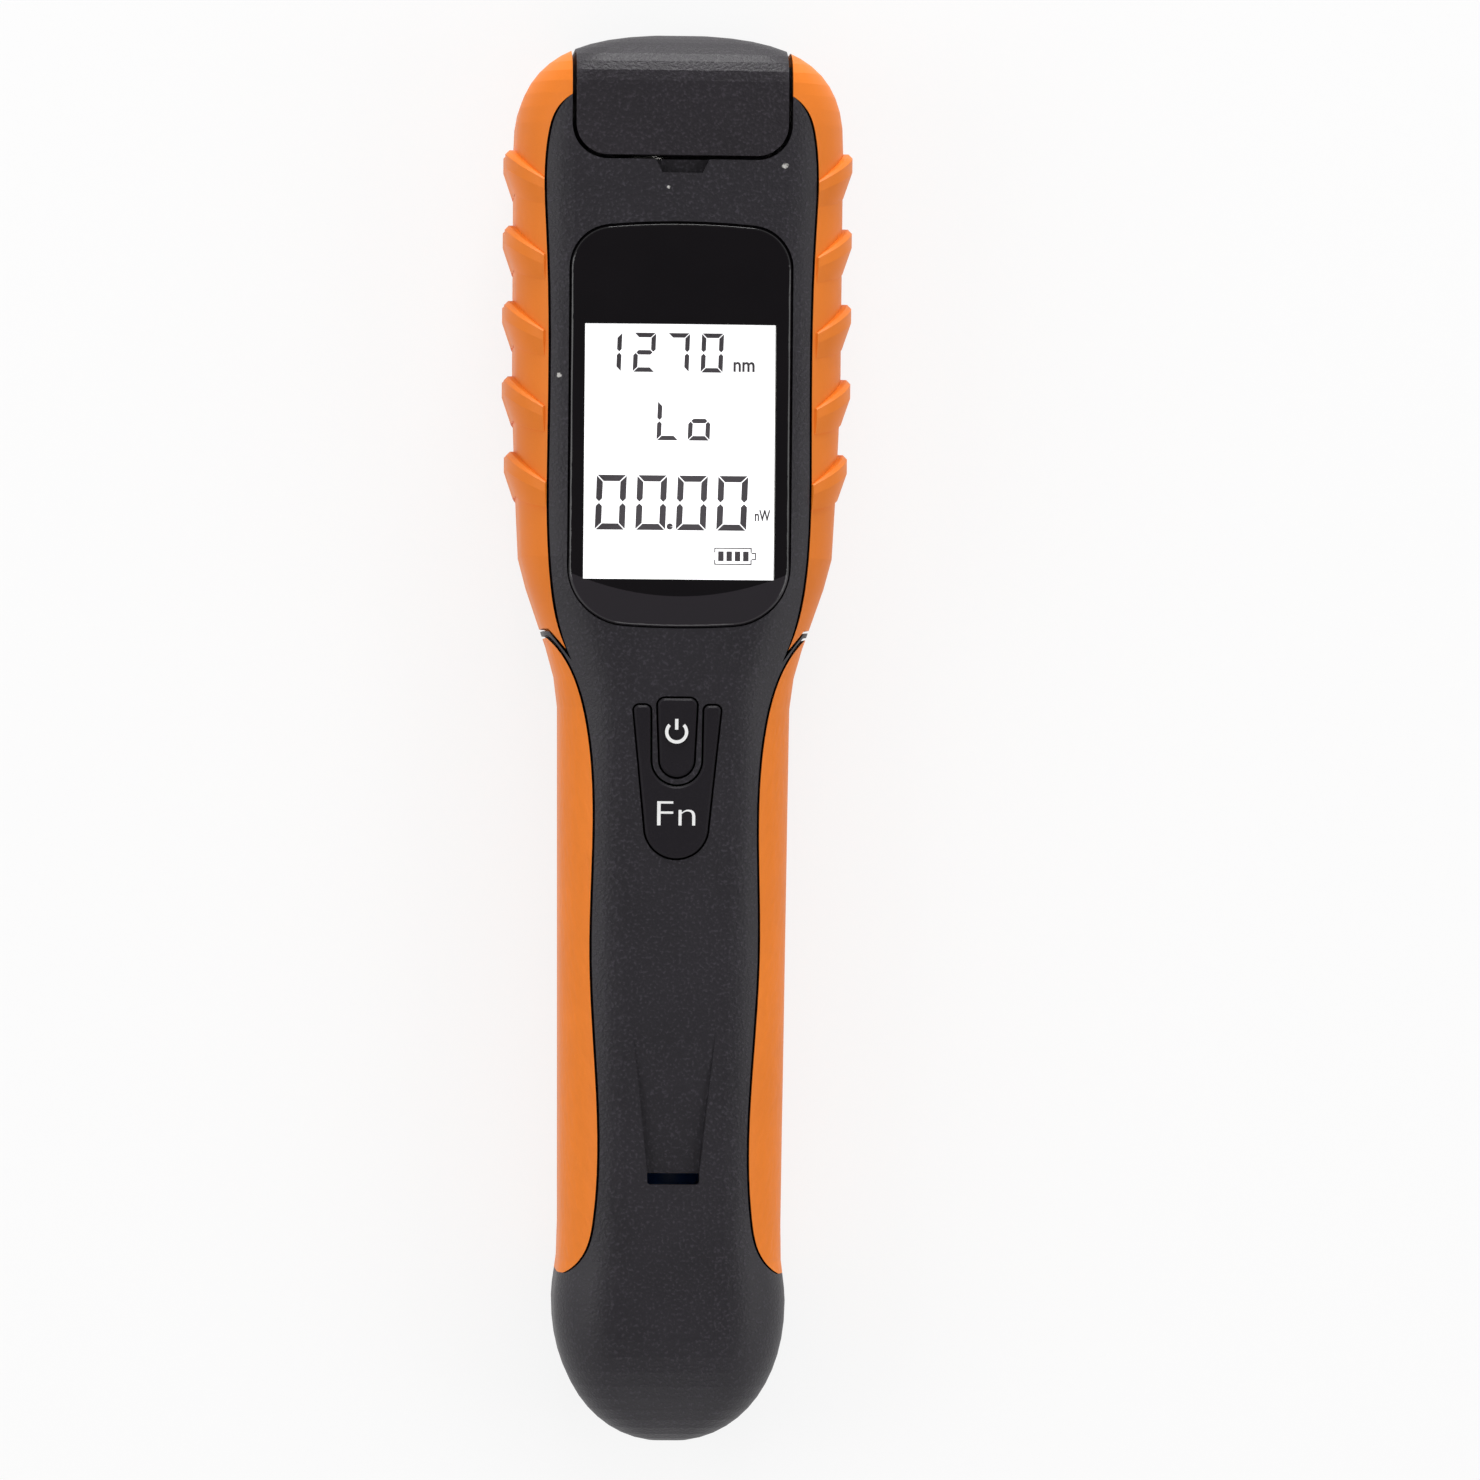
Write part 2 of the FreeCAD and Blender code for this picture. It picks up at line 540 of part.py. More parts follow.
    def stations(self):
        """Y of the sections: close together at the rounded ends, and at each bend between them."""
        found = []
        head_tip_y = self.crown_y + self.head_past - self.side_inset
        tail_tip_y = self.tail_y - self.tail_past + self.side_inset
        ends = (
            (head_tip_y, -1, size("head_end_run"), HEAD_PLAN_POWER, HEAD_END_SHARE),
            (tail_tip_y, 1, size("tail_run"), TAIL_PLAN_POWER, TAIL_END_SHARE),
        )
        for tip_y, sign, run, power, end_share in ends:
            last_angle = math.acos(end_share ** (power / 2))
            for step in range(END_STATIONS + 1):
                share = math.sin(last_angle * step / END_STATIONS) ** (2 / power)
                found.append(tip_y + sign * (run - self.side_inset) * (1 - share))
        neck_y = self.tail_y + size("tail_neck")
        bulb_y = neck_y - size("bulb_rise")
        lift_end_y = neck_y + size("lift_run")
        found += spread(bulb_y, neck_y, 4)
        found += spread(neck_y, lift_end_y, 2)
        found += spread(lift_end_y, self.waist_bottom_y, 3)
        found += spread(self.waist_bottom_y - size("front_run"), self.waist_top_y, 8)
        found += spread(self.waist_top_y, self.waist_top_y + size("shoulder_run"), 4)
        return sorted(set(round(y, 3) for y in found))

    def solid(self):
        """Loft the sections into one solid, with straight spans between them."""
        return Part.makeLoft([self.section(y) for y in self.stations()], True, True)


def spread(low, high, parts):
    """Return evenly spread values between low and high, without either end."""
    return [low + (high - low) * step / parts for step in range(1, parts)]


def crowned_corner(half_width, top, radius, crown):
    """Corner circle between a straight side and a crowned edge: its centre and the meeting angle."""
    centre_u = half_width - radius
    rise = math.sqrt((crown - radius) ** 2 - centre_u ** 2)
    return centre_u, top - crown + rise, math.atan2(rise, centre_u)


def plan_point(x, y):
    return Vector(x, y, -REACH)


def prism(edges):
    """Extrude a closed plan outline through the whole depth of the casing."""
    wire = Part.Wire([edge if isinstance(edge, Part.Shape) else edge.toShape() for edge in edges])
    return Part.Face(wire).extrude(Vector(0, 0, size("head_front") + 2 * REACH))


def crowned_end(half_width, end_y, sign, radius, crown):
    """Edges of a crowned end with round corners, from the right side to the left, sign +1 at +Y."""
    centre_x, centre_v, angle = crowned_corner(half_width, sign * end_y, radius, crown)
    meet_x = crown * math.cos(angle)
    meet_y = sign * (sign * end_y - crown + crown * math.sin(angle))
    centre_y = sign * centre_v
    mid_x = centre_x + radius * math.cos(angle / 2)
    mid_y = centre_y + sign * radius * math.sin(angle / 2)
    side_y = centre_y
    right = Part.Arc(plan_point(half_width, side_y), plan_point(mid_x, mid_y), plan_point(meet_x, meet_y))
    middle = Part.Arc(plan_point(meet_x, meet_y), plan_point(0, end_y), plan_point(-meet_x, meet_y))
    left = Part.Arc(plan_point(-meet_x, meet_y), plan_point(-mid_x, mid_y), plan_point(-half_width, side_y))
    return [right, middle, left], side_y


def lens_prism(grow):
    """Plan of the lens: straight sides, bowed ends and round corners, grown all round."""
    half_width = size("lens_width") / 2
    half_length = size("lens_length") / 2
    crown = half_width ** 2 / (2 * size("lens_bow")) + grow
    middle = size("lens_y")
    wide = half_width + grow
    reach = half_length + grow
    top, top_y = crowned_end(wide, middle + reach, 1, size("lens_top_corner") + grow, crown)
    low, low_y = crowned_end(wide, middle - reach, -1, size("lens_bottom_corner") + grow, crown)
    right = Part.LineSegment(plan_point(wide, low_y), plan_point(wide, top_y))
    left = Part.LineSegment(plan_point(-wide, top_y), plan_point(-wide, low_y))
    return prism([right] + top + [left] + low[::-1])


def rounded_box(half_width, low_y, high_y, low_z, high_z, corner, corners_at):
    """Box across the middle with upright edges rounded at the Y values given."""
    box = Part.makeBox(2 * half_width, high_y - low_y, high_z - low_z, Vector(-half_width, low_y, low_z))
    return round_corners(box, corner, corners_at)


def round_corners(block_shape, radius, corners_at):
    """Round the upright edges of a block at the Y values given."""
    upright = []
    for edge in block_shape.Edges:
        ends = [vertex.Point for vertex in edge.Vertexes]
        if abs(ends[0].z - ends[-1].z) > TOUCH and min(abs(ends[0].y - y) for y in corners_at) < TOUCH:
            upright.append(edge)
    return block_shape.makeFillet(radius, upright)


def cap_prism(grow):
    """Plan of the flip cap: straight sides and a lower edge with round corners."""
    low_y = size("cap_y") - grow
    half_width = size("cap_half_width") + grow
    corner = size("cap_corner") + grow
    high_z = size("head_front") + REACH
    return rounded_box(half_width, low_y, size("crown_y") + REACH, -REACH, high_z, corner, [low_y])


def key_prism(start_y, half_width, end_half_width, length, grow, stretch=0.0):
    """Plan of a key that tapers from a flat upper edge to a round end."""
    high_y = start_y + grow + stretch
    round_y = start_y - length + end_half_width
    wide = half_width + grow
    narrow = end_half_width + grow
    corners = [plan_point(-wide, high_y), plan_point(wide, high_y)]
    tangents = [plan_point(narrow, round_y), plan_point(-narrow, round_y)]
    return prism([
        Part.LineSegment(corners[0], corners[1]),
        Part.LineSegment(corners[1], tangents[0]),
        Part.Arc(tangents[0], plan_point(0, round_y - narrow), tangents[1]),
        Part.LineSegment(tangents[1], corners[0]),
    ])


def power_prism(grow, stretch=0.0, longer=0.0):
    """Plan of the power key, grown all round, stretched at its top or made longer at its round end."""
    start_y = size("power_y")
    length = size("power_length") + longer
    key = key_prism(start_y, size("power_half_width"), size("power_end_half_width"), length, grow, stretch)
    return round_corners(key, size("power_corner") + grow, [start_y + grow + stretch])


def fn_prism(grow, inner_grow, corner=0.0):
    """Plan of the U-shaped function key round the power key, the ends of its arms rounded or square."""
    start_y = size("fn_y")
    outer = key_prism(start_y, size("fn_half_width"), size("fn_end_half_width"), size("fn_length"), grow)
    key = outer.cut(power_prism(size("key_spacing") - inner_grow, REACH))
    return round_corners(key, corner, [start_y + grow]) if corner > 0 else key


def interpolated(points):
    """Smooth plan curve through points."""
    curve = Part.BSplineCurve()
    curve.interpolate([plan_point(x, y) for x, y in points])
    return curve


def upper_grip_prism(form, inset):
    """Plan of the right upper grip, from the horn beside the cap to the tip at the waist."""
    crown_y = size("crown_y")
    wrap = size("grip_wrap")
    end_wrap = size("grip_end_wrap")
    horn_y = crown_y - size("horn_length")
    tip_y = crown_y - size("upper_grip_end") + TIP_DRAW * inset
    inner = [(horn_y - distance, wrap + extra) for distance, extra in HORN_EDGE]
    inner += [
        (form.waist_top_y + WAIST_EDGE_START, wrap),
        (form.waist_top_y - WAIST_EDGE_MIDDLE, (wrap + end_wrap) / 2),
        (crown_y - size("upper_grip_end") + TIP_EDGE, end_wrap),
        (tip_y, end_wrap),
    ]
    bay_x = size("bay_half_width")
    points = [(bay_x, horn_y)] + [(form.half_width(y) - reach + inset, y) for y, reach in inner]
    side_y = crown_y - size("upper_grip_side_end")
    side = (form.half_width(side_y) - size("upper_grip_tip_gap"), side_y + inset)
    wide = size("head_half_width") + REACH
    top_y = crown_y + REACH
    side_end = (wide, side[1] + SIDE_END_RISE)
    corners = [points[-1], side, side_end, (wide, top_y), (bay_x, top_y), (bay_x, horn_y)]
    edges = [interpolated(points)]
    for start, end in zip(corners, corners[1:]):
        edges.append(Part.LineSegment(plan_point(*start), plan_point(*end)))
    return prism(edges)


def lower_grip_prism(form, inset):
    """Plan of the right lower grip, from the waist seam to the tail."""
    start_y = size("crown_y") - size("lower_grip_start")
    tip_y = size("tail_y") + size("lower_grip_end")
    wrap = size("lower_wrap")
    end_wrap = size("lower_end_wrap")
    inner = [(start_y - inset, size("lower_grip_blunt"))]
    inner += [(start_y - distance, share * wrap) for distance, share in LOWER_START_EDGE]
    inner.append(((start_y + tip_y) / 2, (wrap + end_wrap) / 2))
    inner += [(tip_y + distance, share * end_wrap) for distance, share in LOWER_TIP_EDGE]
    points = [(form.half_width(y) - reach + inset, y) for y, reach in inner]
    wide = size("head_half_width") + REACH
    corners = [points[-1], (wide, tip_y - LOWER_TIP_FALL + inset), (wide, start_y - inset), points[0]]
    edges = [interpolated(points)]
    for start, end in zip(corners, corners[1:]):
        edges.append(Part.LineSegment(plan_point(*start), plan_point(*end)))
    return prism(edges)


def mirrored(shape):
    """Mirror a shape to the other side of the middle."""
    return shape.mirror(Vector(0, 0, 0), Vector(1, 0, 0))


def rib(form, first_y):
    """One claw-like rib: a stepped wedge carried round the side of the head, fading at both ends."""
    width = form.half_width(first_y)
    centre_x, centre_z, crown_angle = form.front_corner(first_y)
    reach = size("grip_wrap") - size("grip_groove") - size("rib_margin")
    end_angle = math.degrees(math.asin((width - reach - centre_x) / form.corner(first_y)))
    wires = []
    for step in range(RIB_STATIONS):
        angle = end_angle + (180 - 2 * end_angle) * step / (RIB_STATIONS - 1)
        x, z = form.side_point(first_y, angle)
        share = min(1.0, (width - x) / reach)
        y = first_y - size("rib_sweep") * share ** RIB_SWEEP_POWER
        height = size("rib_height") * (1 - RIB_FADE * share ** RIB_FADE_POWER)
        length = size("rib_length") * (1 - RIB_SHORTENING * share)
        flat = size("rib_flat") * (1 - RIB_SHORTENING * share)
        edge = RIB_BEVEL * height
        root = size("rib_root")
        turn = math.radians(angle)
        crest = [(0, height - edge), (-edge, height), (-flat, height), (-length, 0)]
        outline = [(0, -root)] + crest + [(-length, -root)]
        across, away = math.sin(turn), math.cos(turn)
        points = [Vector(x + up * across, y + along, z + up * away) for along, up in outline]
        wires.append(Part.makePolygon(points + points[:1]))
    return Part.makeLoft(wires, True, False)


def cylinder_z(x, y, low_z, high_z, radius):
    return Part.makeCylinder(radius, high_z - low_z, Vector(x, y, low_z))


def slab(low_z, high_z):
    """Horizontal slab wider than the casing."""
    span = size("length") + 2 * REACH
    wide = size("head_half_width") + REACH
    return Part.makeBox(2 * wide, span, high_z - low_z, Vector(-wide, -span / 2, low_z))


def band(low_y, high_y):
    """Cross slab wider and deeper than the casing."""
    wide = size("head_half_width") + REACH
    deep = size("head_front") + 2 * REACH
    return Part.makeBox(2 * wide, high_y - low_y, deep, Vector(-wide, low_y, -REACH))


def case_screw_places():
    """Plan places of the case screws."""
    crown_y = size("crown_y")
    pairs = (
        (size("head_screw_x"), crown_y - size("head_screw_inset")),
        (size("waist_screw_x"), crown_y - size("waist_screw_inset")),
        (size("tail_screw_x"), size("tail_y") + size("tail_screw_inset")),
    )
    return [(side * x, y) for x, y in pairs for side in (-1, 1)]


def board_screw_places():
    """Plan places of the board screws."""
    crown_y = size("crown_y")
    pairs = (
        (size("board_screw_x"), crown_y - size("board_screw_inset")),
        (size("neck_screw_x"), crown_y - size("neck_screw_inset")),
    )
    return [(side * x, y) for x, y in pairs for side in (-1, 1)]


def plate_prism(grow):
    """Port plate outline, across the casing, grown all round."""
    half_width = size("plate_half_width") + grow
    low_y = size("plate_y") - size("plate_thickness") - grow
    low_z = size("plate_bottom") - grow
    high_z = size("plate_top") + grow
    thickness = size("plate_thickness") + 2 * grow
    box = Part.makeBox(2 * half_width, thickness, high_z - low_z, Vector(-half_width, low_y, low_z))
    along = [edge for edge in box.Edges if abs(edge.Vertexes[0].Y - edge.Vertexes[1].Y) > TOUCH]
    return box.makeFillet(size("plate_corner") + grow, along)


def cap_bay():
    """Space that the cap swings in: over the back wall, and right through behind it."""
    plan = cap_prism(size("cap_gap"))
    over_back = plan.common(slab(size("face_wall"), size("head_front") + REACH))
    behind_y = size("hinge_y") - size("barrel_radius") - size("barrel_gap")
    behind = plan.common(band(behind_y, size("crown_y") + REACH))
    return over_back.fuse(behind)


def nail_notch():
    """Wedge cut into the front below the cap, to lift it with a nail."""
    high_y = size("bay_y") + MARGIN
    low_y = size("bay_y") - size("notch_length")
    wide = size("notch_top_half_width")
    narrow = size("notch_half_width")
    upper = [plan_point(-wide, high_y), plan_point(wide, high_y)]
    lower = [plan_point(narrow, low_y), plan_point(-narrow, low_y)]
    outline = Part.makePolygon(upper + lower + upper[:1])
    floor = size("head_front") - size("notch_depth")
    return prism(outline.Edges).common(slab(floor, floor + REACH))


def strap_recess():
    """Recess that narrows and deepens towards the tail, with the strap slot through the wall at its end."""
    start_y = size("crown_y") - size("recess_start")
    end_y = start_y - size("recess_length")
    front = size("handle_front")
    ends = (
        (start_y, size("recess_half_width"), 0.0),
        (end_y, size("recess_end_half_width"), size("recess_depth")),
    )
    wires = []
    for y, half_width, depth in ends:
        low = [Vector(-half_width, y, front - depth), Vector(half_width, y, front - depth)]
        high = [Vector(half_width, y, front + REACH), Vector(-half_width, y, front + REACH)]
        wires.append(Part.makePolygon(low + high + low[:1]))
    wedge = Part.makeLoft(wires, True, True)
    half_width = size("recess_end_half_width")
    width = size("slot_width")
    slot_z = size("handle_front") - size("face_wall") - MARGIN
    slot = rounded_box(half_width, end_y - width, end_y, slot_z, slot_z + REACH, size("slot_corner"),
                       [end_y - width])
    return wedge.fuse(slot)


def cradles(low_z, high_z, form):
    """Cross ribs that hold the battery cell, hollowed to its radius."""
    cell_y = size("cell_y")
    length = size("cell_length")
    thickness = size("cradle_thickness")
    radius = size("cell_radius") + size("cell_gap")
    start = Vector(0, cell_y - REACH, size("cell_z"))
    bed = Part.makeCylinder(radius, length + 2 * REACH, start, Vector(0, 1, 0))
    ribs = []
    for share in CRADLE_SHARES:
        y = cell_y + share * length - thickness / 2
        rib_slab = band(y, y + thickness).common(slab(low_z, high_z))
        ribs.append(rib_slab.common(form).cut(bed))
    return ribs


def make_shells(forms):
    """Build the two halves of the casing from the outer form, the cavity and the cuts they share."""
    outer = forms["outer"]
    parting = size("parting_height")
    bay_y = size("bay_y")
    cavity = forms["cavity"].common(band(size("tail_y") - REACH, bay_y))
    lip = size("lip_height")
    gap = size("lip_gap")
    top = size("head_front") + REACH
    seats = []
    for shape in (upper_grip_prism(forms["outline"], 0.0), lower_grip_prism(forms["outline"], 0.0)):
        seat = shape.cut(forms["seat"])
        seats += [seat, mirrored(seat)]
    shared_cuts = seats + [cap_bay(), plate_prism(size("plate_gap"))]
    hinge_reach = size("pin_half_length") + size("pin_fit")
    hinge_start = Vector(-hinge_reach, size("hinge_y"), size("hinge_height"))
    hinge_radius = size("pin_radius") + size("pin_fit")
    shared_cuts.append(Part.makeCylinder(hinge_radius, 2 * hinge_reach, hinge_start, Vector(1, 0, 0)))
    hollow = outer.cut(cavity)
    front = hollow.common(slab(parting, top))
    rear = hollow.common(slab(0, parting))
    lip_end_y = size("plate_y") - size("plate_thickness") - MARGIN
    lip_ring = forms["lip"].cut(forms["cavity"]).common(slab(parting - MARGIN, parting + lip))
    rear = rear.fuse(lip_ring.common(band(size("tail_y"), lip_end_y)))
    lip_room = forms["lip_room"].cut(forms["lip_inside"]).common(slab(parting, parting + lip + gap))
    lip_room = lip_room.common(band(size("tail_y") - REACH, lip_end_y + gap))

    inner_room = forms["seat"]
    board_top = size("board_top")
    front_z = size("head_front")
    back_posts = []
    front_posts = []
    for x, y in case_screw_places():
        radius = size("boss_radius")
        front_posts.append(cylinder_z(x, y, parting, front_z, radius).common(inner_room))
        back_posts.append(cylinder_z(x, y, 0, parting, radius).common(inner_room))
    for x, y in board_screw_places():
        radius = size("board_boss_radius")
        front_posts.append(cylinder_z(x, y, board_top, front_z, radius).common(inner_room))
    cell_z = size("cell_z")
    back_posts += cradles(0, cell_z - size("cradle_rise"), inner_room)
    front_posts += cradles(cell_z + size("cradle_rise"), front_z, inner_room)
    front = front.multiFuse(front_posts)
    rear = rear.multiFuse(back_posts)

    front_cuts = shared_cuts + [lip_room]
    for x, y in case_screw_places():
        bore = size("screw_radius") + size("screw_gap")
        bore_end = parting + size("screw_bite") + MARGIN
        front_cuts.append(cylinder_z(x, y, parting - MARGIN, bore_end, bore))
    for x, y in board_screw_places():
        bore = size("board_screw_radius") + size("screw_gap")
        bore_end = board_top + size("board_screw_bite") + MARGIN
        front_cuts.append(cylinder_z(x, y, board_top - MARGIN, bore_end, bore))
    front_cuts.append(lens_recess(forms))
    front_cuts.append(display_window())
    front_cuts.append(display_room())
    key_gap = size("key_gap")
    front_cuts.append(power_prism(key_gap).common(slab(parting, top)))
    front_cuts.append(fn_prism(key_gap, key_gap, size("fn_corner") + key_gap).common(slab(parting, top)))
    front_cuts.append(nail_notch())
    front_cuts.append(strap_recess())
    front = front.cut(front_cuts)

    rear_cuts = list(shared_cuts)
    for x, y in case_screw_places():
        seat_z = screw_seat_z(forms["outline"], y)
        clear = size("screw_clear")
        rear_cuts.append(cylinder_z(x, y, -REACH, seat_z, size("screw_head_radius") + clear))
        rear_cuts.append(cylinder_z(x, y, -REACH, parting + MARGIN, size("screw_radius") + clear))
    rear = rear.cut(rear_cuts)
    add_feature("front_shell", front)
    add_feature("rear_shell", rear)


def screw_seat_z(form, y):
    """Height of the shoulder that a case screw's head rests on."""
    return size("screw_seat") + max(0.0, form.plain_back(y))


def lens_recess(forms):
    """Seat of the lens and its gasket in the front shell."""
    depth_form = forms["lens_seat"]
    return lens_prism(size("lens_gap")).cut(depth_form).common(above_parting())


def display_window():
    """Opening in the front shell over the visible display."""
    margin = size("window_margin")
    half_width = size("view_width") / 2 + margin
    half_length = size("view_length") / 2 + margin
    middle = size("view_y")
    corner = Vector(-half_width, middle - half_length, size("parting_height") + MARGIN)
    return Part.makeBox(2 * half_width, 2 * half_length, REACH, corner)


def display_room():
    """Room cut into the inside of the front shell round the display frame."""
    gap = size("frame_room")
    half_width = size("view_width") / 2 + size("display_border") + gap
    half_length = size("view_length") / 2 + size("display_end_border") + gap
    height = size("frame_height") + 2 * gap
    corner = Vector(-half_width, size("view_y") - half_length, size("board_top") - gap)
    return Part.makeBox(2 * half_width, 2 * half_length, height, corner)


def add_feature(label, shape):
    """Hold a finished shape as a feature of the document."""
    part = document.addObject("Part::Feature", label)
    part.Label = label
    part.Shape = shape
    part.Placement = FreeCAD.Placement()
    sub_parts.append(part)
    return part


def make_grips(forms):
    """Build the four rubber grips, the upper pair with its ribs."""
    groove = size("grip_groove")
    outer = forms["outer"]
    inner = forms["grip_inside"]
    above = slab(0, size("head_front") + REACH)
    plan = upper_grip_prism(forms["outline"], groove)
    upper = plan.common(outer).cut(inner).common(above)
    ribs = []
    for index in range(RIB_COUNT):
        first_y = size("crown_y") - size("rib_first") - index * size("rib_pitch")
        ribs.append(rib(forms["outline"], first_y).common(plan))
    upper = upper.multiFuse(ribs)
    lower = lower_grip_prism(forms["outline"], groove).common(outer).cut(inner).common(above)
    add_feature("upper_grip_right", upper)
    add_feature("upper_grip_left", mirrored(upper))
    add_feature("lower_grip_right", lower)
    add_feature("lower_grip_left", mirrored(lower))


def make_cap(forms):
    """Build the flip cap with its hinge barrel, and the seal pad inside it."""
    wall = size("cap_wall")
    top = size("head_front") + REACH
    skin = cap_prism(0.0).common(forms["outer"]).common(slab(size("cap_back"), top))
    room = cap_prism(-wall).common(forms["cap_inside"])
    mouth_half_width = size("cap_half_width") - wall
    mouth_start = Vector(-mouth_half_width, size("cap_y") - MARGIN, 0)
    mouth = Part.makeBox(2 * mouth_half_width, size("cap_corner") + 2 * MARGIN, top, mouth_start)
    room = room.fuse(mouth.common(forms["cap_inside"]))
    barrel_start = Vector(-size("cap_half_width"), size("hinge_y"), size("hinge_height"))
    across = Vector(1, 0, 0)
    length = 2 * size("cap_half_width")
    barrel = Part.makeCylinder(size("barrel_radius"), length, barrel_start, across)
    bore = Part.makeCylinder(size("pin_radius") + size("pin_fit"), length, barrel_start, across)
    cap = skin.cut(room).fuse(barrel).cut(bore)
    add_feature("flip_cap", cap)
    seal_start = Vector(-size("port_offset"), size("collar_end_y") + size("seal_gap"), size("port_height"))
    seal = Part.makeCylinder(size("seal_radius"), REACH, seal_start, Vector(0, 1, 0))
    add_feature("cap_seal", seal.common(forms["cap_inside"]))


def make_lens(forms):
    """Build the domed lens, its edge rounded, and the gasket that it is bonded to."""
    lens = lens_prism(0.0).common(forms["lens_top"]).cut(forms["lens_bottom"]).common(above_parting())
    rim = [edge for edge in lens.Edges if is_on_top(edge, forms["lens_top"])]
    lens = lens.makeFillet(min(size("lens_edge"), size("lens_thickness") / 2), rim)
    add_feature("display_lens", lens)
    ring = lens_prism(-size("gasket_inset")).common(forms["lens_bottom"]).cut(forms["lens_seat"])
    gasket = ring.cut(display_window()).common(above_parting())
    add_feature("lens_gasket", gasket)


def above_parting():
    return slab(size("parting_height"), size("head_front") + REACH)


def is_on_top(edge, form):
    """True where an edge of a piece lies on the surface of a form."""
    middle = edge.valueAt((edge.FirstParameter + edge.LastParameter) / 2)
    return form.Shells[0].distToShape(Part.Vertex(middle))[0] < SURFACE_TOUCH


def make_keys(forms):
    """Build the two keys: a cap through the shell, domed like it, on a foot that keeps it in."""
    floor = size("plunger_top")
    tall = slab(floor, size("head_front") + REACH)
    flange = size("key_flange")
    power_head = power_prism(0.0).common(forms["key_top"])
    power_foot = power_prism(0.0, flange).common(forms["key_foot"])
    low_foot = power_prism(0.0, 0.0, flange).common(forms["key_foot"])
    power = power_head.multiFuse([power_foot, low_foot]).common(tall).removeSplitter()
    fn_head = fn_prism(0.0, 0.0, size("fn_corner")).common(forms["key_top"])
    fn_foot = fn_prism(flange, 0.0).common(forms["key_foot"])
    fn_key = fn_head.fuse(fn_foot).common(tall).removeSplitter()
    for label, key in (("power_key", power), ("fn_key", fn_key)):
        rim = [edge for edge in key.Edges if is_on_top(edge, forms["key_top"])]
        add_feature(label, key.makeChamfer(size("key_edge"), rim))


def make_forms():
    """Loft every form that the pieces share."""
    face = size("face_wall")
    depth = size("grip_depth")
    bond = size("grip_bond")
    cap_wall = size("cap_wall")
    side = size("side_wall")
    lens_top = size("lens_sink")
    lens_bottom = lens_top + size("lens_thickness")
    lip_side = side - size("lip_wall")
    lip_face = face - size("lip_wall")
    insets = {
        "outer": (0.0, 0.0),
        "seat": (depth, depth),
        "grip_inside": (depth - bond, depth - bond),
        "cavity": (side, face),
        "lip": (lip_side, lip_face),
        "lip_room": (lip_side - size("lip_gap"), lip_face - size("lip_gap")),
        "lip_inside": (side + size("lip_gap"), face + size("lip_gap")),
        "cap_inside": (cap_wall, cap_wall),
    }
    forms = {name: Form(*inset).solid() for name, inset in insets.items()}
    forms["outline"] = Form()
    lens_reach = size("lens_width") / 2 + MARGIN
    lens_low = size("lens_y") - size("lens_length") / 2 - MARGIN
    lens_high = size("lens_y") + size("lens_length") / 2 + MARGIN
    for name, depth in (("lens_top", lens_top), ("lens_bottom", lens_bottom),
                        ("lens_seat", lens_bottom + size("gasket_thickness"))):
        forms[name] = Form(0.0, depth).crown_block(lens_reach, lens_low, lens_high)
    key_reach = size("fn_half_width") + size("key_flange") + MARGIN
    key_low = size("fn_y") - size("fn_length") - size("key_flange") - MARGIN
    key_high = size("power_y") + size("key_flange") + MARGIN
    for name, depth in (("key_top", -size("key_proud")), ("key_foot", face + size("flange_gap"))):
        forms[name] = Form(0.0, depth).crown_block(key_reach, key_low, key_high)
    return forms


def cell(text):
    """Write an expression on the sheet's cells from plain alias names."""
    words = text.replace("(", " ( ").replace(")", " ) ").split()
    return " ".join(f"sizes.{word}" if word[0].isalpha() else word for word in words)


class Body:
    """PartDesign body of one sub-part, placed by expressions, whose sketches follow the sheet."""

    def __init__(self, label, x="0", y="0", z="0"):
        self.body = document.addObject("PartDesign::Body", label)
        self.body.Label = label
        for axis, place in (("x", x), ("y", y), ("z", z)):
            self.body.setExpression(f"Placement.Base.{axis}", cell(place))
        sub_parts.append(self.body)

    def sketch(self, role, lift=None):
        """Sketch on an origin plane of the body, lifted off it by an expression."""
        sketch = self.body.newObject("Sketcher::SketchObject", "outline")
        plane = next(item for item in self.body.Origin.OriginFeatures if item.Role == role)
        sketch.AttachmentSupport = [(plane, "")]
        sketch.MapMode = "FlatFace"
        if lift is not None:
            sketch.setExpression("AttachmentOffset.Base.z", cell(lift))
        return sketch

    def pad(self, sketch, length, towards_plus=True):
        """Pad a sketch along its plane's normal, or against it."""
        pad = self.body.newObject("PartDesign::Pad", "pad")
        pad.Profile = sketch
        pad.setExpression("Length", cell(length))
        pad.Reversed = not towards_plus
        return pad

    def pocket(self, sketch, length=None, towards_plus=True):
        """Cut a sketch's outline along its plane's normal or against it, right through without a length."""
        before = self.volume()
        pocket = self.body.newObject("PartDesign::Pocket", "pocket")
        pocket.Profile = sketch
        pocket.Reversed = towards_plus
        if length is None:
            pocket.Type = "ThroughAll"
            pocket.Midplane = True
        else:
            pocket.setExpression("Length", cell(length))
        if self.volume() >= before:
            raise ValueError(f"a pocket of {self.body.Label} cuts nothing")
        return pocket

    def revolve(self, sketch, axis):
        """Turn a sketch right round one of its axes."""
        revolution = self.body.newObject("PartDesign::Revolution", "revolution")
        revolution.Profile = sketch
        revolution.ReferenceAxis = (sketch, [axis])
        revolution.Angle = 360
        return revolution

    def chamfer(self, feature, names, width):
        """Chamfer edges of a feature."""
        chamfer = self.body.newObject("PartDesign::Chamfer", "chamfer")
        chamfer.Base = (feature, names)
        chamfer.setExpression("Size", cell(width))
        return chamfer

    def volume(self):
        document.recompute()
        return self.body.Shape.Volume


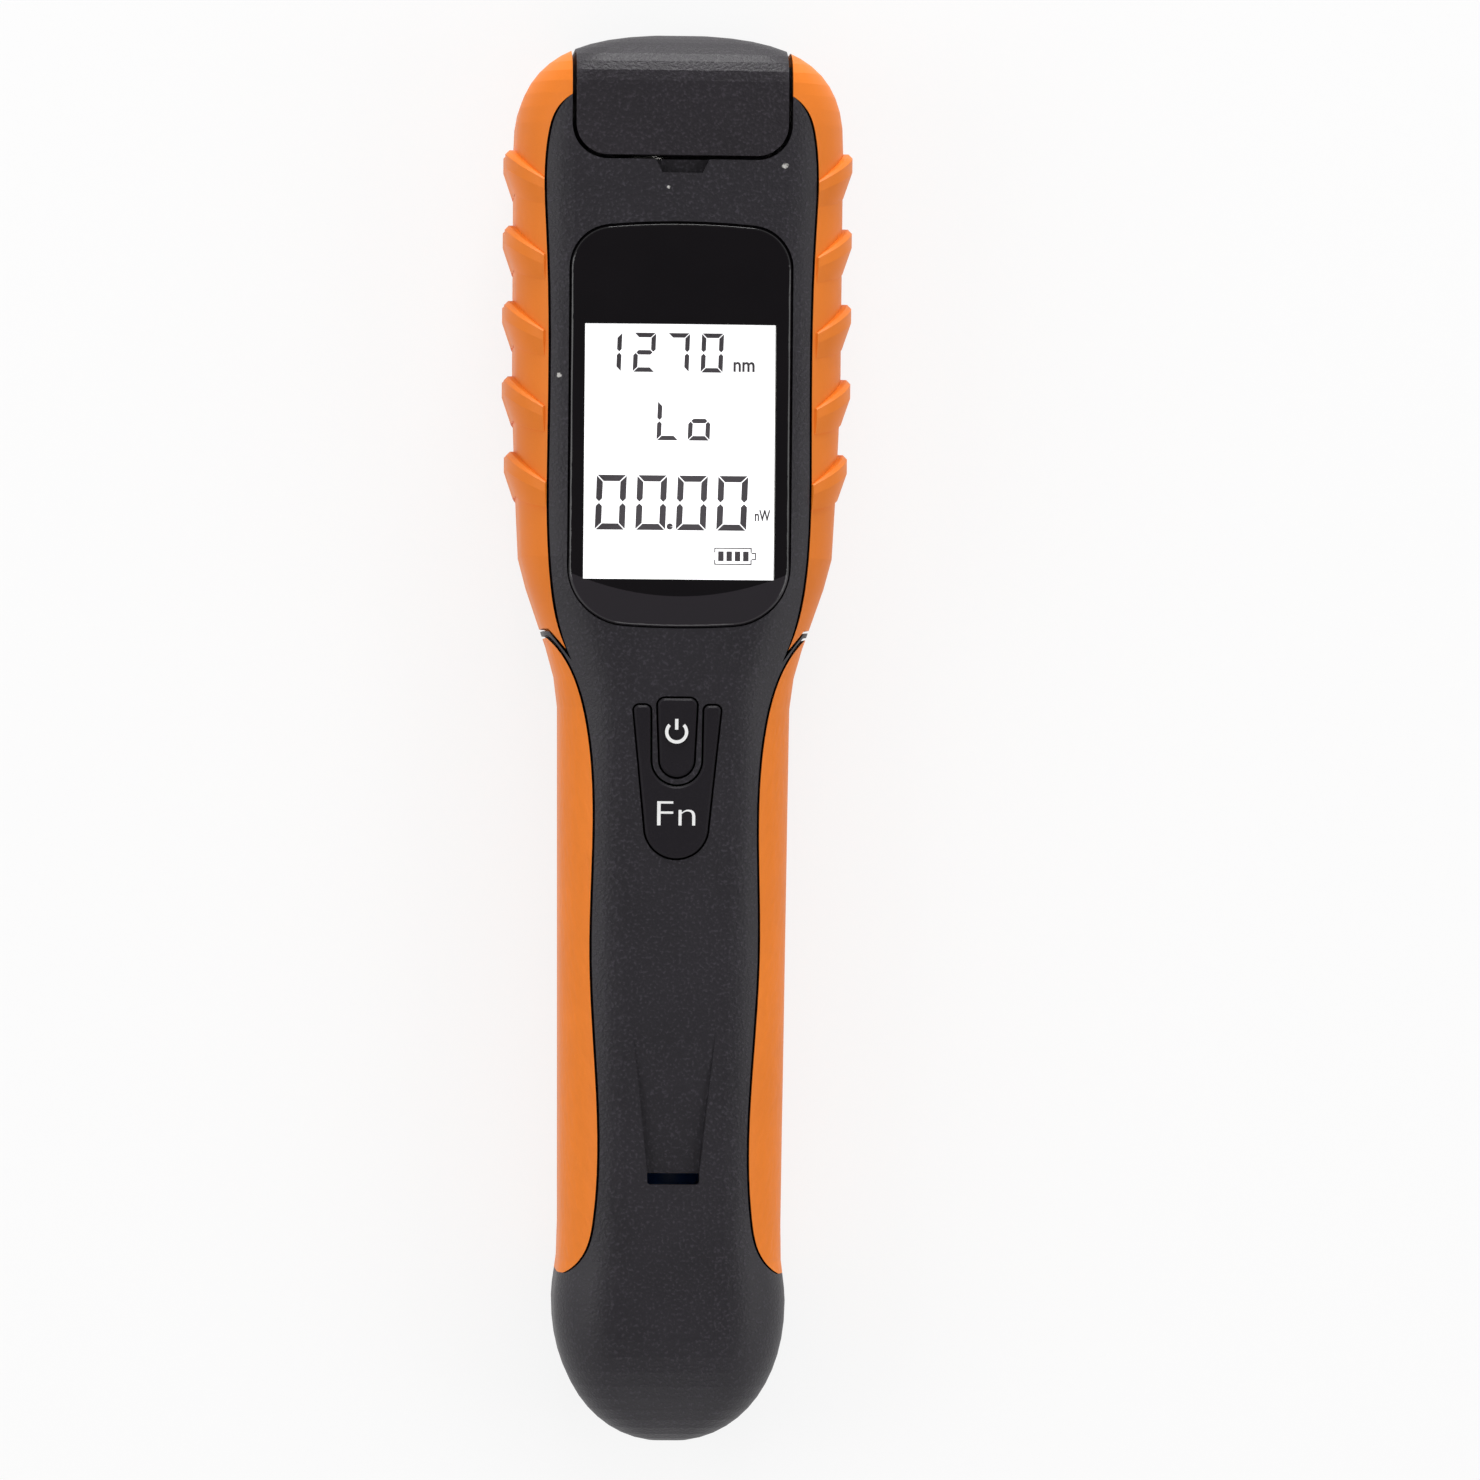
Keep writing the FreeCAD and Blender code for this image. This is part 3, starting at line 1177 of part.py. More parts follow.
def hold_point(sketch, geometry, position, x, y):
    """Hold a point of a sketch at x, y, each given as an expression on the sheet."""
    for kind, place in (("DistanceX", x), ("DistanceY", y)):
        text = cell(place)
        value = float(sketch.evalExpression(text))
        index = sketch.addConstraint(Sketcher.Constraint(kind, -1, 1, geometry, position, value))
        sketch.setExpression(f"Constraints[{index}]", text)


def add_outline(sketch, points):
    """Closed outline of straight lines through points given as pairs of expressions."""
    places = []
    for x, y in points:
        places.append(Vector(float(sketch.evalExpression(cell(x))), float(sketch.evalExpression(cell(y))), 0))
    first = sketch.GeometryCount
    count = len(points)
    for index in range(count):
        sketch.addGeometry(Part.LineSegment(places[index], places[(index + 1) % count]))
    for index in range(count):
        following = first + (index + 1) % count
        sketch.addConstraint(Sketcher.Constraint("Coincident", first + index, 2, following, 1))
    for index, (x, y) in enumerate(points):
        hold_point(sketch, first + index, 1, x, y)


def add_rectangle(sketch, half_width, half_height, x="0", y="0"):
    """Rectangle about a place of the sketch."""
    left, right = f"{x} - ( {half_width} )", f"{x} + {half_width}"
    low, high = f"{y} - ( {half_height} )", f"{y} + {half_height}"
    add_outline(sketch, [(left, low), (right, low), (right, high), (left, high)])


def add_circle(sketch, radius, x="0", y="0"):
    """Circle about a place of the sketch."""
    value = float(sketch.evalExpression(cell(radius)))
    centre = Vector(float(sketch.evalExpression(cell(x))), float(sketch.evalExpression(cell(y))), 0)
    geometry = sketch.addGeometry(Part.Circle(centre, Vector(0, 0, 1), value))
    index = sketch.addConstraint(Sketcher.Constraint("Radius", geometry, value))
    sketch.setExpression(f"Constraints[{index}]", cell(radius))
    hold_point(sketch, geometry, 3, x, y)


def block(label, half_width, half_length, height, x="0", y="0", z="0"):
    """Plain padded block that stands on z."""
    part = Body(label, x, y, z)
    sketch = part.sketch("XY_Plane")
    add_rectangle(sketch, half_width, half_length)
    part.pad(sketch, height)
    return part


def make_boards():
    """Build the main board with its narrow neck and the port board that hangs from its upper edge."""
    board = Body("main_board", z="board_bottom")
    sketch = board.sketch("XY_Plane")
    start, step, end = "crown_y - board_start", "crown_y - board_step", "crown_y - board_end"
    taper = "crown_y - board_step + board_half_width - neck_half_width"
    add_outline(sketch, [
        ("0 - neck_half_width", end),
        ("neck_half_width", end),
        ("neck_half_width", step),
        ("board_half_width", taper),
        ("board_half_width", start),
        ("0 - board_half_width", start),
        ("0 - board_half_width", taper),
        ("0 - neck_half_width", step),
    ])
    board.pad(sketch, "board_thickness")
    holes = board.sketch("XY_Plane")
    for side in ("", "0 - "):
        for x, inset in (("board_screw_x", "board_screw_inset"), ("neck_screw_x", "neck_screw_inset")):
            add_circle(holes, "board_screw_radius + screw_clear", side + x, f"crown_y - {inset}")
    board.pocket(holes)

    port_board = Body("port_board", y="port_board_y", z="board_bottom")
    sketch = port_board.sketch("XZ_Plane")
    drop = "0 - port_board_drop"
    wide = "port_board_half_width"
    add_outline(sketch, [(f"0 - {wide}", drop), (wide, drop), (wide, "0"), (f"0 - {wide}", "0")])
    port_board.pad(sketch, "board_thickness")


def make_port_plate():
    """Build the plate that closes the casing below the cap, with the holes of both ports."""
    plate = Body("port_plate", y="plate_y", z="plate_middle")
    sketch = plate.sketch("XZ_Plane")
    add_rectangle(sketch, "plate_half_width", "plate_height / 2")
    pad = plate.pad(sketch, "plate_thickness")
    document.recompute()
    along = []
    for index, edge in enumerate(pad.Shape.Edges, start=1):
        if abs(edge.Vertexes[0].Y - edge.Vertexes[1].Y) > TOUCH:
            along.append(f"Edge{index}")
    fillet = plate.body.newObject("PartDesign::Fillet", "corners")
    fillet.Base = (pad, along)
    fillet.setExpression("Radius", cell("plate_corner"))
    holes = plate.sketch("XZ_Plane")
    level = "port_height - plate_middle"
    add_circle(holes, "adapter_neck_radius + adapter_neck_gap", "0 - port_offset", level)
    add_rectangle(holes, "usb_width / 2 + usb_gap", "usb_height / 2 + usb_gap", "usb_offset", level)
    plate.pocket(holes)


def make_optical_port():
    """Turn the adapter, the sleeve that guides the ferrule and the photodiode behind them."""
    adapter = Body("optical_adapter", x="0 - port_offset", y="plate_y", z="port_height")
    sketch = adapter.sketch("XY_Plane")
    tail = "0 - adapter_tail"
    end = "flange_thickness + collar_length"
    seat = "flange_thickness + collar_length - mouth_wall"
    floor = "flange_thickness + collar_length - mouth_wall - sleeve_length - sleeve_fit"
    diode_floor = floor + " - aperture_length"
    add_outline(sketch, [
        ("adapter_neck_radius", tail),
        ("adapter_neck_radius", "0"),
        ("flange_radius", "0"),
        ("flange_radius", "flange_thickness"),
        ("collar_radius", "flange_thickness"),
        ("collar_radius", end),
        ("mouth_radius", end),
        ("mouth_radius", seat),
        ("sleeve_radius + sleeve_fit", seat),
        ("sleeve_radius + sleeve_fit", floor),
        ("aperture_radius", floor),
        ("aperture_radius", diode_floor),
        ("diode_radius + diode_fit", diode_floor),
        ("diode_radius + diode_fit", tail),
    ])
    adapter.revolve(sketch, "V_Axis")

    nut = Body("adapter_nut", x="0 - port_offset", y="plate_y - plate_thickness", z="port_height")
    sketch = nut.sketch("XZ_Plane")
    corners = []
    for step in range(6):
        across = f"nut_flats * {math.cos(math.radians(60 * step)) / math.sqrt(3):.6f}"
        up = f"nut_flats * {math.sin(math.radians(60 * step)) / math.sqrt(3):.6f}"
        corners.append((across, up))
    add_outline(sketch, corners)
    add_circle(sketch, "adapter_neck_radius + sleeve_fit")
    nut.pad(sketch, "nut_thickness")

    sleeve = Body("ferrule_sleeve", x="0 - port_offset", y="collar_end_y - mouth_wall", z="port_height")
    sketch = sleeve.sketch("XY_Plane")
    low = "0 - sleeve_length"
    add_outline(sketch, [
        ("ferrule_bore", low),
        ("sleeve_radius", low),
        ("sleeve_radius", "0"),
        ("ferrule_bore", "0"),
    ])
    sleeve.revolve(sketch, "V_Axis")

    diode = Body("photodiode", x="0 - port_offset", y="port_board_y", z="port_height")
    sketch = diode.sketch("XZ_Plane", "0 - diode_stand")
    add_circle(sketch, "diode_radius")
    diode.pad(sketch, "diode_length", False)
    legs = diode.sketch("XZ_Plane")
    add_circle(legs, "leg_radius", "leg_spacing")
    add_circle(legs, "leg_radius", "0 - leg_spacing")
    diode.pad(legs, "diode_stand + leg_radius", False)


def make_charging_socket():
    """Build the shell of the charging socket and its contact tongue."""
    length = "plate_y + usb_proud - port_board_y"
    socket = Body("usb_socket", x="usb_offset", y="port_board_y", z="port_height")
    sketch = socket.sketch("XZ_Plane")
    add_rectangle(sketch, "usb_width / 2", "usb_height / 2")
    socket.pad(sketch, length, False)
    hollow = socket.sketch("XZ_Plane", "0 - socket_floor")
    add_rectangle(hollow, "usb_width / 2 - usb_wall", "usb_height / 2 - usb_wall")
    socket.pocket(hollow, length, False)
    tongue = Body("usb_tongue", x="usb_offset", y="port_board_y + socket_floor", z="port_height")
    sketch = tongue.sketch("XZ_Plane")
    add_rectangle(sketch, "tongue_width / 2", "tongue_thickness / 2")
    tongue.pad(sketch, "plate_y + usb_proud - port_board_y - socket_floor - tongue_recess", False)


def make_display():
    """Build the display stack: frame, panel, backlight and the contact strip to the board."""
    half_width = "view_width / 2 + display_border"
    half_length = "view_length / 2 + display_end_border"
    frame = Body("lcd_frame", y="view_y", z="board_top")
    sketch = frame.sketch("XY_Plane")
    add_rectangle(sketch, half_width, half_length)
    frame.pad(sketch, "frame_height")
    hollow = frame.sketch("XY_Plane")
    add_rectangle(hollow, half_width + " - frame_wall", half_length + " - frame_wall")
    frame.pocket(hollow, "frame_height - frame_lip", True)
    window = frame.sketch("XY_Plane")
    add_rectangle(window, "view_width / 2", "view_length / 2")
    frame.pocket(window)

    inner_width = half_width + " - frame_wall - panel_gap"
    inner_length = half_length + " - frame_wall - panel_gap"
    panel_z = "display_top - frame_lip - panel_thickness"
    block("lcd_panel", inner_width, inner_length, "panel_thickness", y="view_y", z=panel_z)
    light = Body("lcd_backlight", y="view_y", z=panel_z + " - backlight_thickness")
    sketch = light.sketch("XY_Plane")
    low = f"0 - ( {inner_length} ) + strip_width + strip_gap"
    add_outline(sketch, [
        (f"0 - ( {inner_width} )", low),
        (inner_width, low),
        (inner_width, inner_length),
        (f"0 - ( {inner_width} )", inner_length),
    ])
    light.pad(sketch, "backlight_thickness")
    strip_y = f"view_y - ( {inner_length} ) + strip_width / 2"
    strip_height = "frame_height - frame_lip - panel_thickness"
    strip_half_width = inner_width + " - strip_gap"
    block("lcd_connector", strip_half_width, "strip_width / 2", strip_height, y=strip_y, z="board_top")


def make_switch(name, y):
    """Build one key switch on the main board, with the plunger that the key stands on."""
    switch = Body(f"{name}_switch", y=y, z="board_top")
    sketch = switch.sketch("XY_Plane")
    add_rectangle(sketch, "switch_width / 2", "switch_width / 2")
    switch.pad(sketch, "switch_height")
    well = switch.sketch("XY_Plane", "switch_height - plunger_depth - plunger_travel")
    add_circle(well, "plunger_radius + plunger_gap")
    switch.pocket(well, "switch_height", True)
    plunger = Body(f"{name}_switch_plunger", y=y, z="board_top + switch_height - plunger_depth")
    sketch = plunger.sketch("XY_Plane")
    add_circle(sketch, "plunger_radius")
    plunger.pad(sketch, "plunger_depth + plunger_height")


def make_electronics():
    """Build the chips under the main board and the battery connector."""
    under = "board_bottom - chip_thickness"
    half = "processor_width / 2"
    middle = "crown_y - processor_inset - processor_width / 2"
    block("microcontroller", half, half, "chip_thickness", y=middle, z=under)
    block("amplifier_chip", "amplifier_width / 2", "amplifier_length / 2", "chip_thickness",
          x="0 - port_offset", y="port_board_y - board_thickness - amplifier_length", z=under)
    block("charger_chip", "charger_width / 2", "charger_width / 2", "chip_thickness",
          x="usb_offset", y="port_board_y - board_thickness - charger_width", z=under)
    block("battery_connector", "connector_width / 2", "connector_length / 2", "connector_height",
          y="connector_y + connector_length / 2", z="board_bottom - connector_height")


def make_battery():
    """Turn the battery cell and run its two leads up to the connector."""
    battery = Body("battery_cell", y="cell_y", z="cell_z")
    sketch = battery.sketch("XY_Plane")
    add_outline(sketch, [
        ("0", "0"),
        ("cell_radius", "0"),
        ("cell_radius", "cell_length - cap_disc_height"),
        ("cap_disc_radius", "cell_length - cap_disc_height"),
        ("cap_disc_radius", "cell_length"),
        ("0", "cell_length"),
    ])
    battery.revolve(sketch, "V_Axis")
    for label, side in (("battery_lead_red", 1), ("battery_lead_black", -1)):
        add_feature(label, lead(side * size("lead_spacing")))


def lead(x):
    """Run one battery lead: straight out of the cell, an easy rise and straight into the connector."""
    start_y = size("cell_y") + size("cell_length")
    end_y = size("connector_y")
    start_z = size("cell_z")
    end_z = size("board_bottom") - size("lead_rise")
    straight = (end_y - start_y) * STRAIGHT_SHARE
    corners = [
        Vector(x, start_y, start_z),
        Vector(x, start_y + straight, start_z),
        Vector(x, end_y - straight, end_z),
        Vector(x, end_y, end_z),
    ]
    path = rounded_path(corners)
    profile = Part.Wire([Part.makeCircle(size("lead_radius"), corners[0], Vector(0, 1, 0))])
    return path.makePipeShell([profile], True, False)


def rounded_path(corners):
    """Join straight runs by tangent arcs, each as large as its two runs allow."""
    edges = []
    last = corners[0]
    for before, corner, after in zip(corners, corners[1:], corners[2:]):
        into = (corner - before).normalize()
        out = (after - corner).normalize()
        reach = ARC_SHARE * min(corner.distanceToPoint(before), corner.distanceToPoint(after))
        half_turn = into.getAngle(out) / 2
        radius = reach / math.tan(half_turn)
        print(f"lead arc radius {radius:.2f} mm")
        start = corner - into * reach
        end = corner + out * reach
        inward = (out - into).normalize()
        middle = corner + inward * (radius / math.cos(half_turn) - radius)
        edges.append(Part.LineSegment(last, start).toShape())
        edges.append(Part.Arc(start, middle, end).toShape())
        last = end
    edges.append(Part.LineSegment(last, corners[-1]).toShape())
    return Part.Wire(edges)


def screw(x, y, seat_z, length, radius, head_radius, head_height):
    """One screw turned about its axis: a pan head with a cross recess, and a shank with a blunt point."""
    point = radius / 2
    edge = size("head_edge")
    outline = [
        (0, -head_height),
        (head_radius - edge, -head_height),
        (head_radius, -head_height + edge),
        (head_radius, 0),
        (radius, 0),
        (radius, length - point),
        (radius - point, length),
        (0, length),
    ]
    points = [Vector(x + across, y, seat_z + up) for across, up in outline]
    face = Part.Face(Part.makePolygon(points + points[:1]))
    turned = face.revolve(Vector(x, y, 0), Vector(0, 0, 1), 360)
    half_width = size("drive_width") / 2
    reach = size("drive_reach")
    slots = []
    for half_x, half_y in ((half_width, reach), (reach, half_width)):
        corner = Vector(x - half_x, y - half_y, seat_z - head_height - MARGIN)
        slots.append(Part.makeBox(2 * half_x, 2 * half_y, size("drive_depth") + MARGIN, corner))
    return turned.cut(slots)


def make_screws():
    """Group the case screws and the board screws, each as separate solids in one sub-part."""
    parting = size("parting_height")
    case_screws = []
    for x, y in case_screw_places():
        seat_z = screw_seat_z(Form(), y)
        length = parting - seat_z + size("screw_bite")
        case_screws.append(screw(x, y, seat_z, length, size("screw_radius"), size("screw_head_radius"),
                                 size("screw_head_height")))
    add_feature("case_screws", Part.makeCompound(case_screws))
    board_screws = []
    for x, y in board_screw_places():
        length = size("board_thickness") + size("board_screw_bite")
        board_screws.append(screw(x, y, size("board_bottom"), length, size("board_screw_radius"),
                                  size("board_screw_head"), size("board_screw_head_height")))
    add_feature("board_screws", Part.makeCompound(board_screws))


def make_hinge_pin():
    """Build the steel pin that carries the cap."""
    pin = Body("cap_hinge_pin", y="hinge_y", z="hinge_height")
    sketch = pin.sketch("YZ_Plane", "0 - pin_half_length")
    add_circle(sketch, "pin_radius")
    pin.pad(sketch, "2 * pin_half_length")


def check_and_write():
    """Stop on any failed object, then write one file per sub-part."""
    for item in document.Objects:
        if "Invalid" in item.State or "Error" in item.State:
            raise ValueError(f"{item.Label} failed")
    os.makedirs("parts", exist_ok=True)
    for part in sub_parts:
        if part.Shape.isNull() or not part.Shape.isValid():
            raise ValueError(f"{part.Label} has no valid shape")
        part.Shape.exportStep(f"parts/{part.Label}.step")
        print(f"{part.Label}: {len(part.Shape.Solids)} solid(s), {part.Shape.Volume:.1f} mm3")


def main():
    """Build every sub-part in the order in which the meter is put together."""
    fill_sheet()
    forms = make_forms()
    make_shells(forms)
    make_grips(forms)
    make_port_plate()
    make_optical_port()
    make_charging_socket()
    make_boards()
    make_electronics()
    make_display()
    make_lens(forms)
    make_switch("power", "power_switch_y")
    make_switch("fn", "fn_switch_y")
    make_keys(forms)
    make_battery()
    make_screws()
    make_cap(forms)
    make_hinge_pin()
    document.recompute()
    check_and_write()


main()
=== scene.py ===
"""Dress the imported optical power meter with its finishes, markings and small turned detail.

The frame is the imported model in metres: X across, +Y towards the flip cap, +Z out of the display.
The meter lies on its back and the camera looks down on it.
"""
import logging
import math
from dataclasses import dataclass
from enum import Enum
from functools import cache
from typing import Any

import bpy
import numpy as np
from mathutils import Matrix, Vector


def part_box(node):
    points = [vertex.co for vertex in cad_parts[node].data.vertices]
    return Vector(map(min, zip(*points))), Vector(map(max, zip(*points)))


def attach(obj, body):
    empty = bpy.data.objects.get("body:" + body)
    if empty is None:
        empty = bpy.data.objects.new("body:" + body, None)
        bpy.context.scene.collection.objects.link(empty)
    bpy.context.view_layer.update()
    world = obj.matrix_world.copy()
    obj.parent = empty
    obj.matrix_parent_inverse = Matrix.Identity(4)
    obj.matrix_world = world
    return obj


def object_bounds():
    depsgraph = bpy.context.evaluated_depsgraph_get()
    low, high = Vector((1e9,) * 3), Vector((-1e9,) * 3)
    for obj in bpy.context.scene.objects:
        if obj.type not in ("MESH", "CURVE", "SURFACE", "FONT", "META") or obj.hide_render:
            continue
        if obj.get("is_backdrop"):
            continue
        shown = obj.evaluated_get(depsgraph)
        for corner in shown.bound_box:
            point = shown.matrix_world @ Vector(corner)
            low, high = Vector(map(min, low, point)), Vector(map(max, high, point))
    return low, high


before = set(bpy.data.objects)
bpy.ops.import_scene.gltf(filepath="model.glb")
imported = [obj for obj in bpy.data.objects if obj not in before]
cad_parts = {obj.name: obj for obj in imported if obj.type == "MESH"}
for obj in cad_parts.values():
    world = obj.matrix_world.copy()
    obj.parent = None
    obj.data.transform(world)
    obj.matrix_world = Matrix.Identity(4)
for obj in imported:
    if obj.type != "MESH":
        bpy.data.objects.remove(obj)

CAD_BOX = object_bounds()
MM = 0.001
REPORT = logging.getLogger("power_meter")

Colour = tuple[float, float, float]
Point = tuple[float, float]
Faces = list[tuple[int, ...]]
Shape = tuple[np.ndarray, Faces]


def linear(colour: Colour) -> tuple[float, float, float, float]:
    """Turn a display colour into the linear colour that a shader takes.

    Args:
        colour: Red, green and blue as a display shows them, 0 to 255.

    Returns:
        Linear red, green, blue and an alpha of 1.
    """
    shares = np.asarray(colour, float) / 255.0
    low = shares / 12.92
    high = ((shares + 0.055) / 1.055) ** 2.4
    red, green, blue = np.where(shares <= 0.04045, low, high)
    return float(red), float(green), float(blue), 1.0


def shade(colour: Colour, factor: float) -> tuple[float, float, float, float]:
    """Return a display colour as a linear one, made lighter or darker by a factor."""
    red, green, blue, alpha = linear(colour)
    return red * factor, green * factor, blue * factor, alpha


def tint(colour: Colour, factor: float) -> Colour:
    """Return a display colour made lighter or darker by a factor, up to full white."""
    return tuple(min(255.0, factor * part) for part in colour)


class Signal:
    """An output socket in a shader graph, on which maths is written as expressions."""

    def __init__(self, graph: "Graph", socket: bpy.types.NodeSocket) -> None:
        """Keep the graph and the socket."""
        self.graph = graph
        self.socket = socket

    def __add__(self, other: "Signal | float") -> "Signal":
        """Add a signal or a number."""
        return self.graph.maths("ADD", self, other)

    def __sub__(self, other: "Signal | float") -> "Signal":
        """Take away a signal or a number."""
        return self.graph.maths("SUBTRACT", self, other)

    def __rsub__(self, other: float) -> "Signal":
        """Take this signal away from a number."""
        return self.graph.maths("SUBTRACT", other, self)

    def __mul__(self, other: "Signal | float") -> "Signal":
        """Multiply by a signal or a number."""
        return self.graph.maths("MULTIPLY", self, other)

    def __truediv__(self, other: "Signal | float") -> "Signal":
        """Divide by a signal or a number."""
        return self.graph.maths("DIVIDE", self, other)

    def __pow__(self, other: float) -> "Signal":
        """Raise to a power."""
        return self.graph.maths("POWER", self, other)

    def __abs__(self) -> "Signal":
        """Drop the sign."""
        return self.graph.maths("ABSOLUTE", self)

    __radd__ = __add__


class Graph:
    """The node graph of one material, or of the surroundings."""

    def __init__(self, name: str, surroundings: bool = False) -> None:
        """Start an empty graph.

        Args:
            name: Name of the material or of the surroundings.
            surroundings: True for the graph of the surroundings.
        """
        store = bpy.data.worlds if surroundings else bpy.data.materials
        self.holder = store.new(name)
        self.holder.use_nodes = True
        self.tree = self.holder.node_tree
        self.tree.nodes.clear()
        kind = "ShaderNodeOutputWorld" if surroundings else "ShaderNodeOutputMaterial"
        self.output = self.tree.nodes.new(kind)
        self.place_signal: Signal | None = None

    def node(self, kind: str, settings: dict[str, Any] | None = None,
             inputs: dict[Any, Any] | None = None) -> bpy.types.Node:
        """Make one node.

        Args:
            kind: Type of the node.
            settings: Settings of the node; "stops" holds a ramp's positions and colours.
            inputs: Values or signals by socket name or number.

        Returns:
            The node.
        """
        made = self.tree.nodes.new(kind)
        for name, value in (settings or {}).items():
            if name == "stops":
                ramp = made.color_ramp.elements
                for index, (position, colour) in enumerate(value):
                    stop = ramp[index] if index < len(ramp) else ramp.new(position)
                    stop.position = position
                    stop.color = colour
            else:
                setattr(made, name, value)
        for name, value in (inputs or {}).items():
            if isinstance(value, Signal):
                self.tree.links.new(value.socket, made.inputs[name])
            else:
                made.inputs[name].default_value = value
        return made

    def read(self, kind: str, name: str) -> Signal:
        """Return one output of a node that takes no inputs."""
        return Signal(self, self.node(kind).outputs[name])

    def maths(self, operation: str, *values: "Signal | float") -> Signal:
        """Join numbers by a Math node."""
        made = self.node("ShaderNodeMath", {"operation": operation}, dict(enumerate(values)))
        return Signal(self, made.outputs[0])

    def place(self) -> Signal:
        """Return the point on the object, in metres."""
        if self.place_signal is None:
            self.place_signal = self.read("ShaderNodeTexCoord", "Object")
        return self.place_signal

    def axes(self) -> tuple[Signal, Signal, Signal]:
        """Return the X, Y and Z of the point on the object."""
        made = self.node("ShaderNodeSeparateXYZ", inputs={0: self.place()})
        return tuple(Signal(self, socket) for socket in made.outputs)

    def noise(self, pitch: float, detail: float = 2.0, stretch: Colour = (1.0, 1.0, 1.0),
              turn: float = 0.0) -> Signal:
        """Return soft noise between 0 and 1.

        Args:
            pitch: Size of the grain in metres.
            detail: Number of finer layers.
            stretch: How much coarser the grain is along each axis.
            turn: Turn of the grain about Z, in degrees.

        Returns:
            The noise.
        """
        mapped = self.node("ShaderNodeMapping", {"vector_type": "TEXTURE"}, {
            "Vector": self.place(), "Rotation": (0.0, 0.0, math.radians(turn)), "Scale": stretch})
        made = self.node("ShaderNodeTexNoise", inputs={
            "Vector": Signal(self, mapped.outputs[0]), "Scale": 1.0 / pitch, "Detail": detail})
        return Signal(self, made.outputs[0])

    def step(self, value: Signal, low: float, high: float, start: float = 0.0,
             end: float = 1.0) -> Signal:
        """Pass smoothly from a start value at low to an end value at high."""
        made = self.node("ShaderNodeMapRange", {"interpolation_type": "SMOOTHSTEP"},
                         {0: value, 1: low, 2: high, 3: start, 4: end})
        return Signal(self, made.outputs[0])

    def mix(self, share: "Signal | float", first: Any, second: Any) -> Signal:
        """Mix two colours, the second by its share."""
        made = self.node("ShaderNodeMix", {"data_type": "RGBA"}, {0: share, 6: first, 7: second})
        return Signal(self, made.outputs[2])

    def seen(self) -> Signal:
        """Return 1 for rays that the camera, a mirror or a clear piece sends, and 0 for others."""
        rays = self.node("ShaderNodeLightPath").outputs
        direct = self.maths("MAXIMUM", Signal(self, rays["Is Camera Ray"]),
                            Signal(self, rays["Is Glossy Ray"]))
        return self.maths("MAXIMUM", direct, Signal(self, rays["Is Transmission Ray"]))

    def bump(self, height: Signal, depth: float) -> Signal:
        """Return a normal that follows a height between 0 and 1, scaled to a depth in metres."""
        made = self.node("ShaderNodeBump", inputs={"Distance": depth, "Height": height})
        return Signal(self, made.outputs[0])

    def surface(self, inputs: dict[str, Any]) -> bpy.types.Material:
        """Close the graph with one Principled shader.

        Args:
            inputs: Values or signals of the shader's sockets.

        Returns:
            The finished material.
        """
        shader = self.node("ShaderNodeBsdfPrincipled", inputs=inputs)
        self.tree.links.new(shader.outputs[0], self.output.inputs["Surface"])
        return self.holder


@dataclass(frozen=True)
class SparkPlastic:
    """Moulded plastic with a spark-eroded grain, a faint mottle and a few dust marks."""

    name: str
    colour: Colour
    grain: float = 0.42 * MM
    depth: float = 0.1 * MM
    roughness: float = 0.5
    sparkle: float = 0.7
    specular: float = 0.42
    marks: tuple[tuple[float, float, float], ...] = ()
    peak_range: Point = (0.52, 0.72)
    peak_share: float = 0.7
    mottle_pitch: float = 9 * MM
    lightest: float = 1.6
    darkest: float = 0.45
    unevenness: float = 0.25
    mark_colour: Colour = (206, 204, 200)
    mark_cover: float = 0.9
    mark_edge: Point = (1.1, 1.5)
    ragged_pitch: float = 0.5 * MM
    raggedness: float = 1.6

    def material(self) -> bpy.types.Material:
        """Mix dark and lighter grains by noise, lay on the dust marks and bump the grain."""
        graph = Graph(self.name)
        grain = graph.noise(self.grain, 2.0)
        peaks = graph.step(grain, *self.peak_range)
        mottle = graph.noise(self.mottle_pitch, 3.0)
        light = shade(self.colour, 1 + self.lightest * self.sparkle)
        dark = shade(self.colour, 1 - self.darkest * self.sparkle)
        share = peaks * self.peak_share + mottle * (1 - self.peak_share)
        colour = graph.mix(share, dark, light)
        if self.marks:
            along_x, along_y, _ = graph.axes()
            ragged = graph.noise(self.ragged_pitch, 2.0) * self.raggedness
            inner, outer = self.mark_edge
            for x, y, radius in self.marks:
                across = (along_x - x) * (along_x - x)
                away = (across + (along_y - y) * (along_y - y)) ** 0.5
                spot = 1.0 - graph.step(away + ragged * radius, radius * inner, radius * outer)
                colour = graph.mix(spot * self.mark_cover, colour, linear(self.mark_colour))
        rough = self.roughness + (grain - 0.5) * self.unevenness
        return graph.surface({
            "Base Color": colour, "Roughness": rough, "Specular IOR Level": self.specular,
            "Normal": graph.bump(grain, self.depth)})


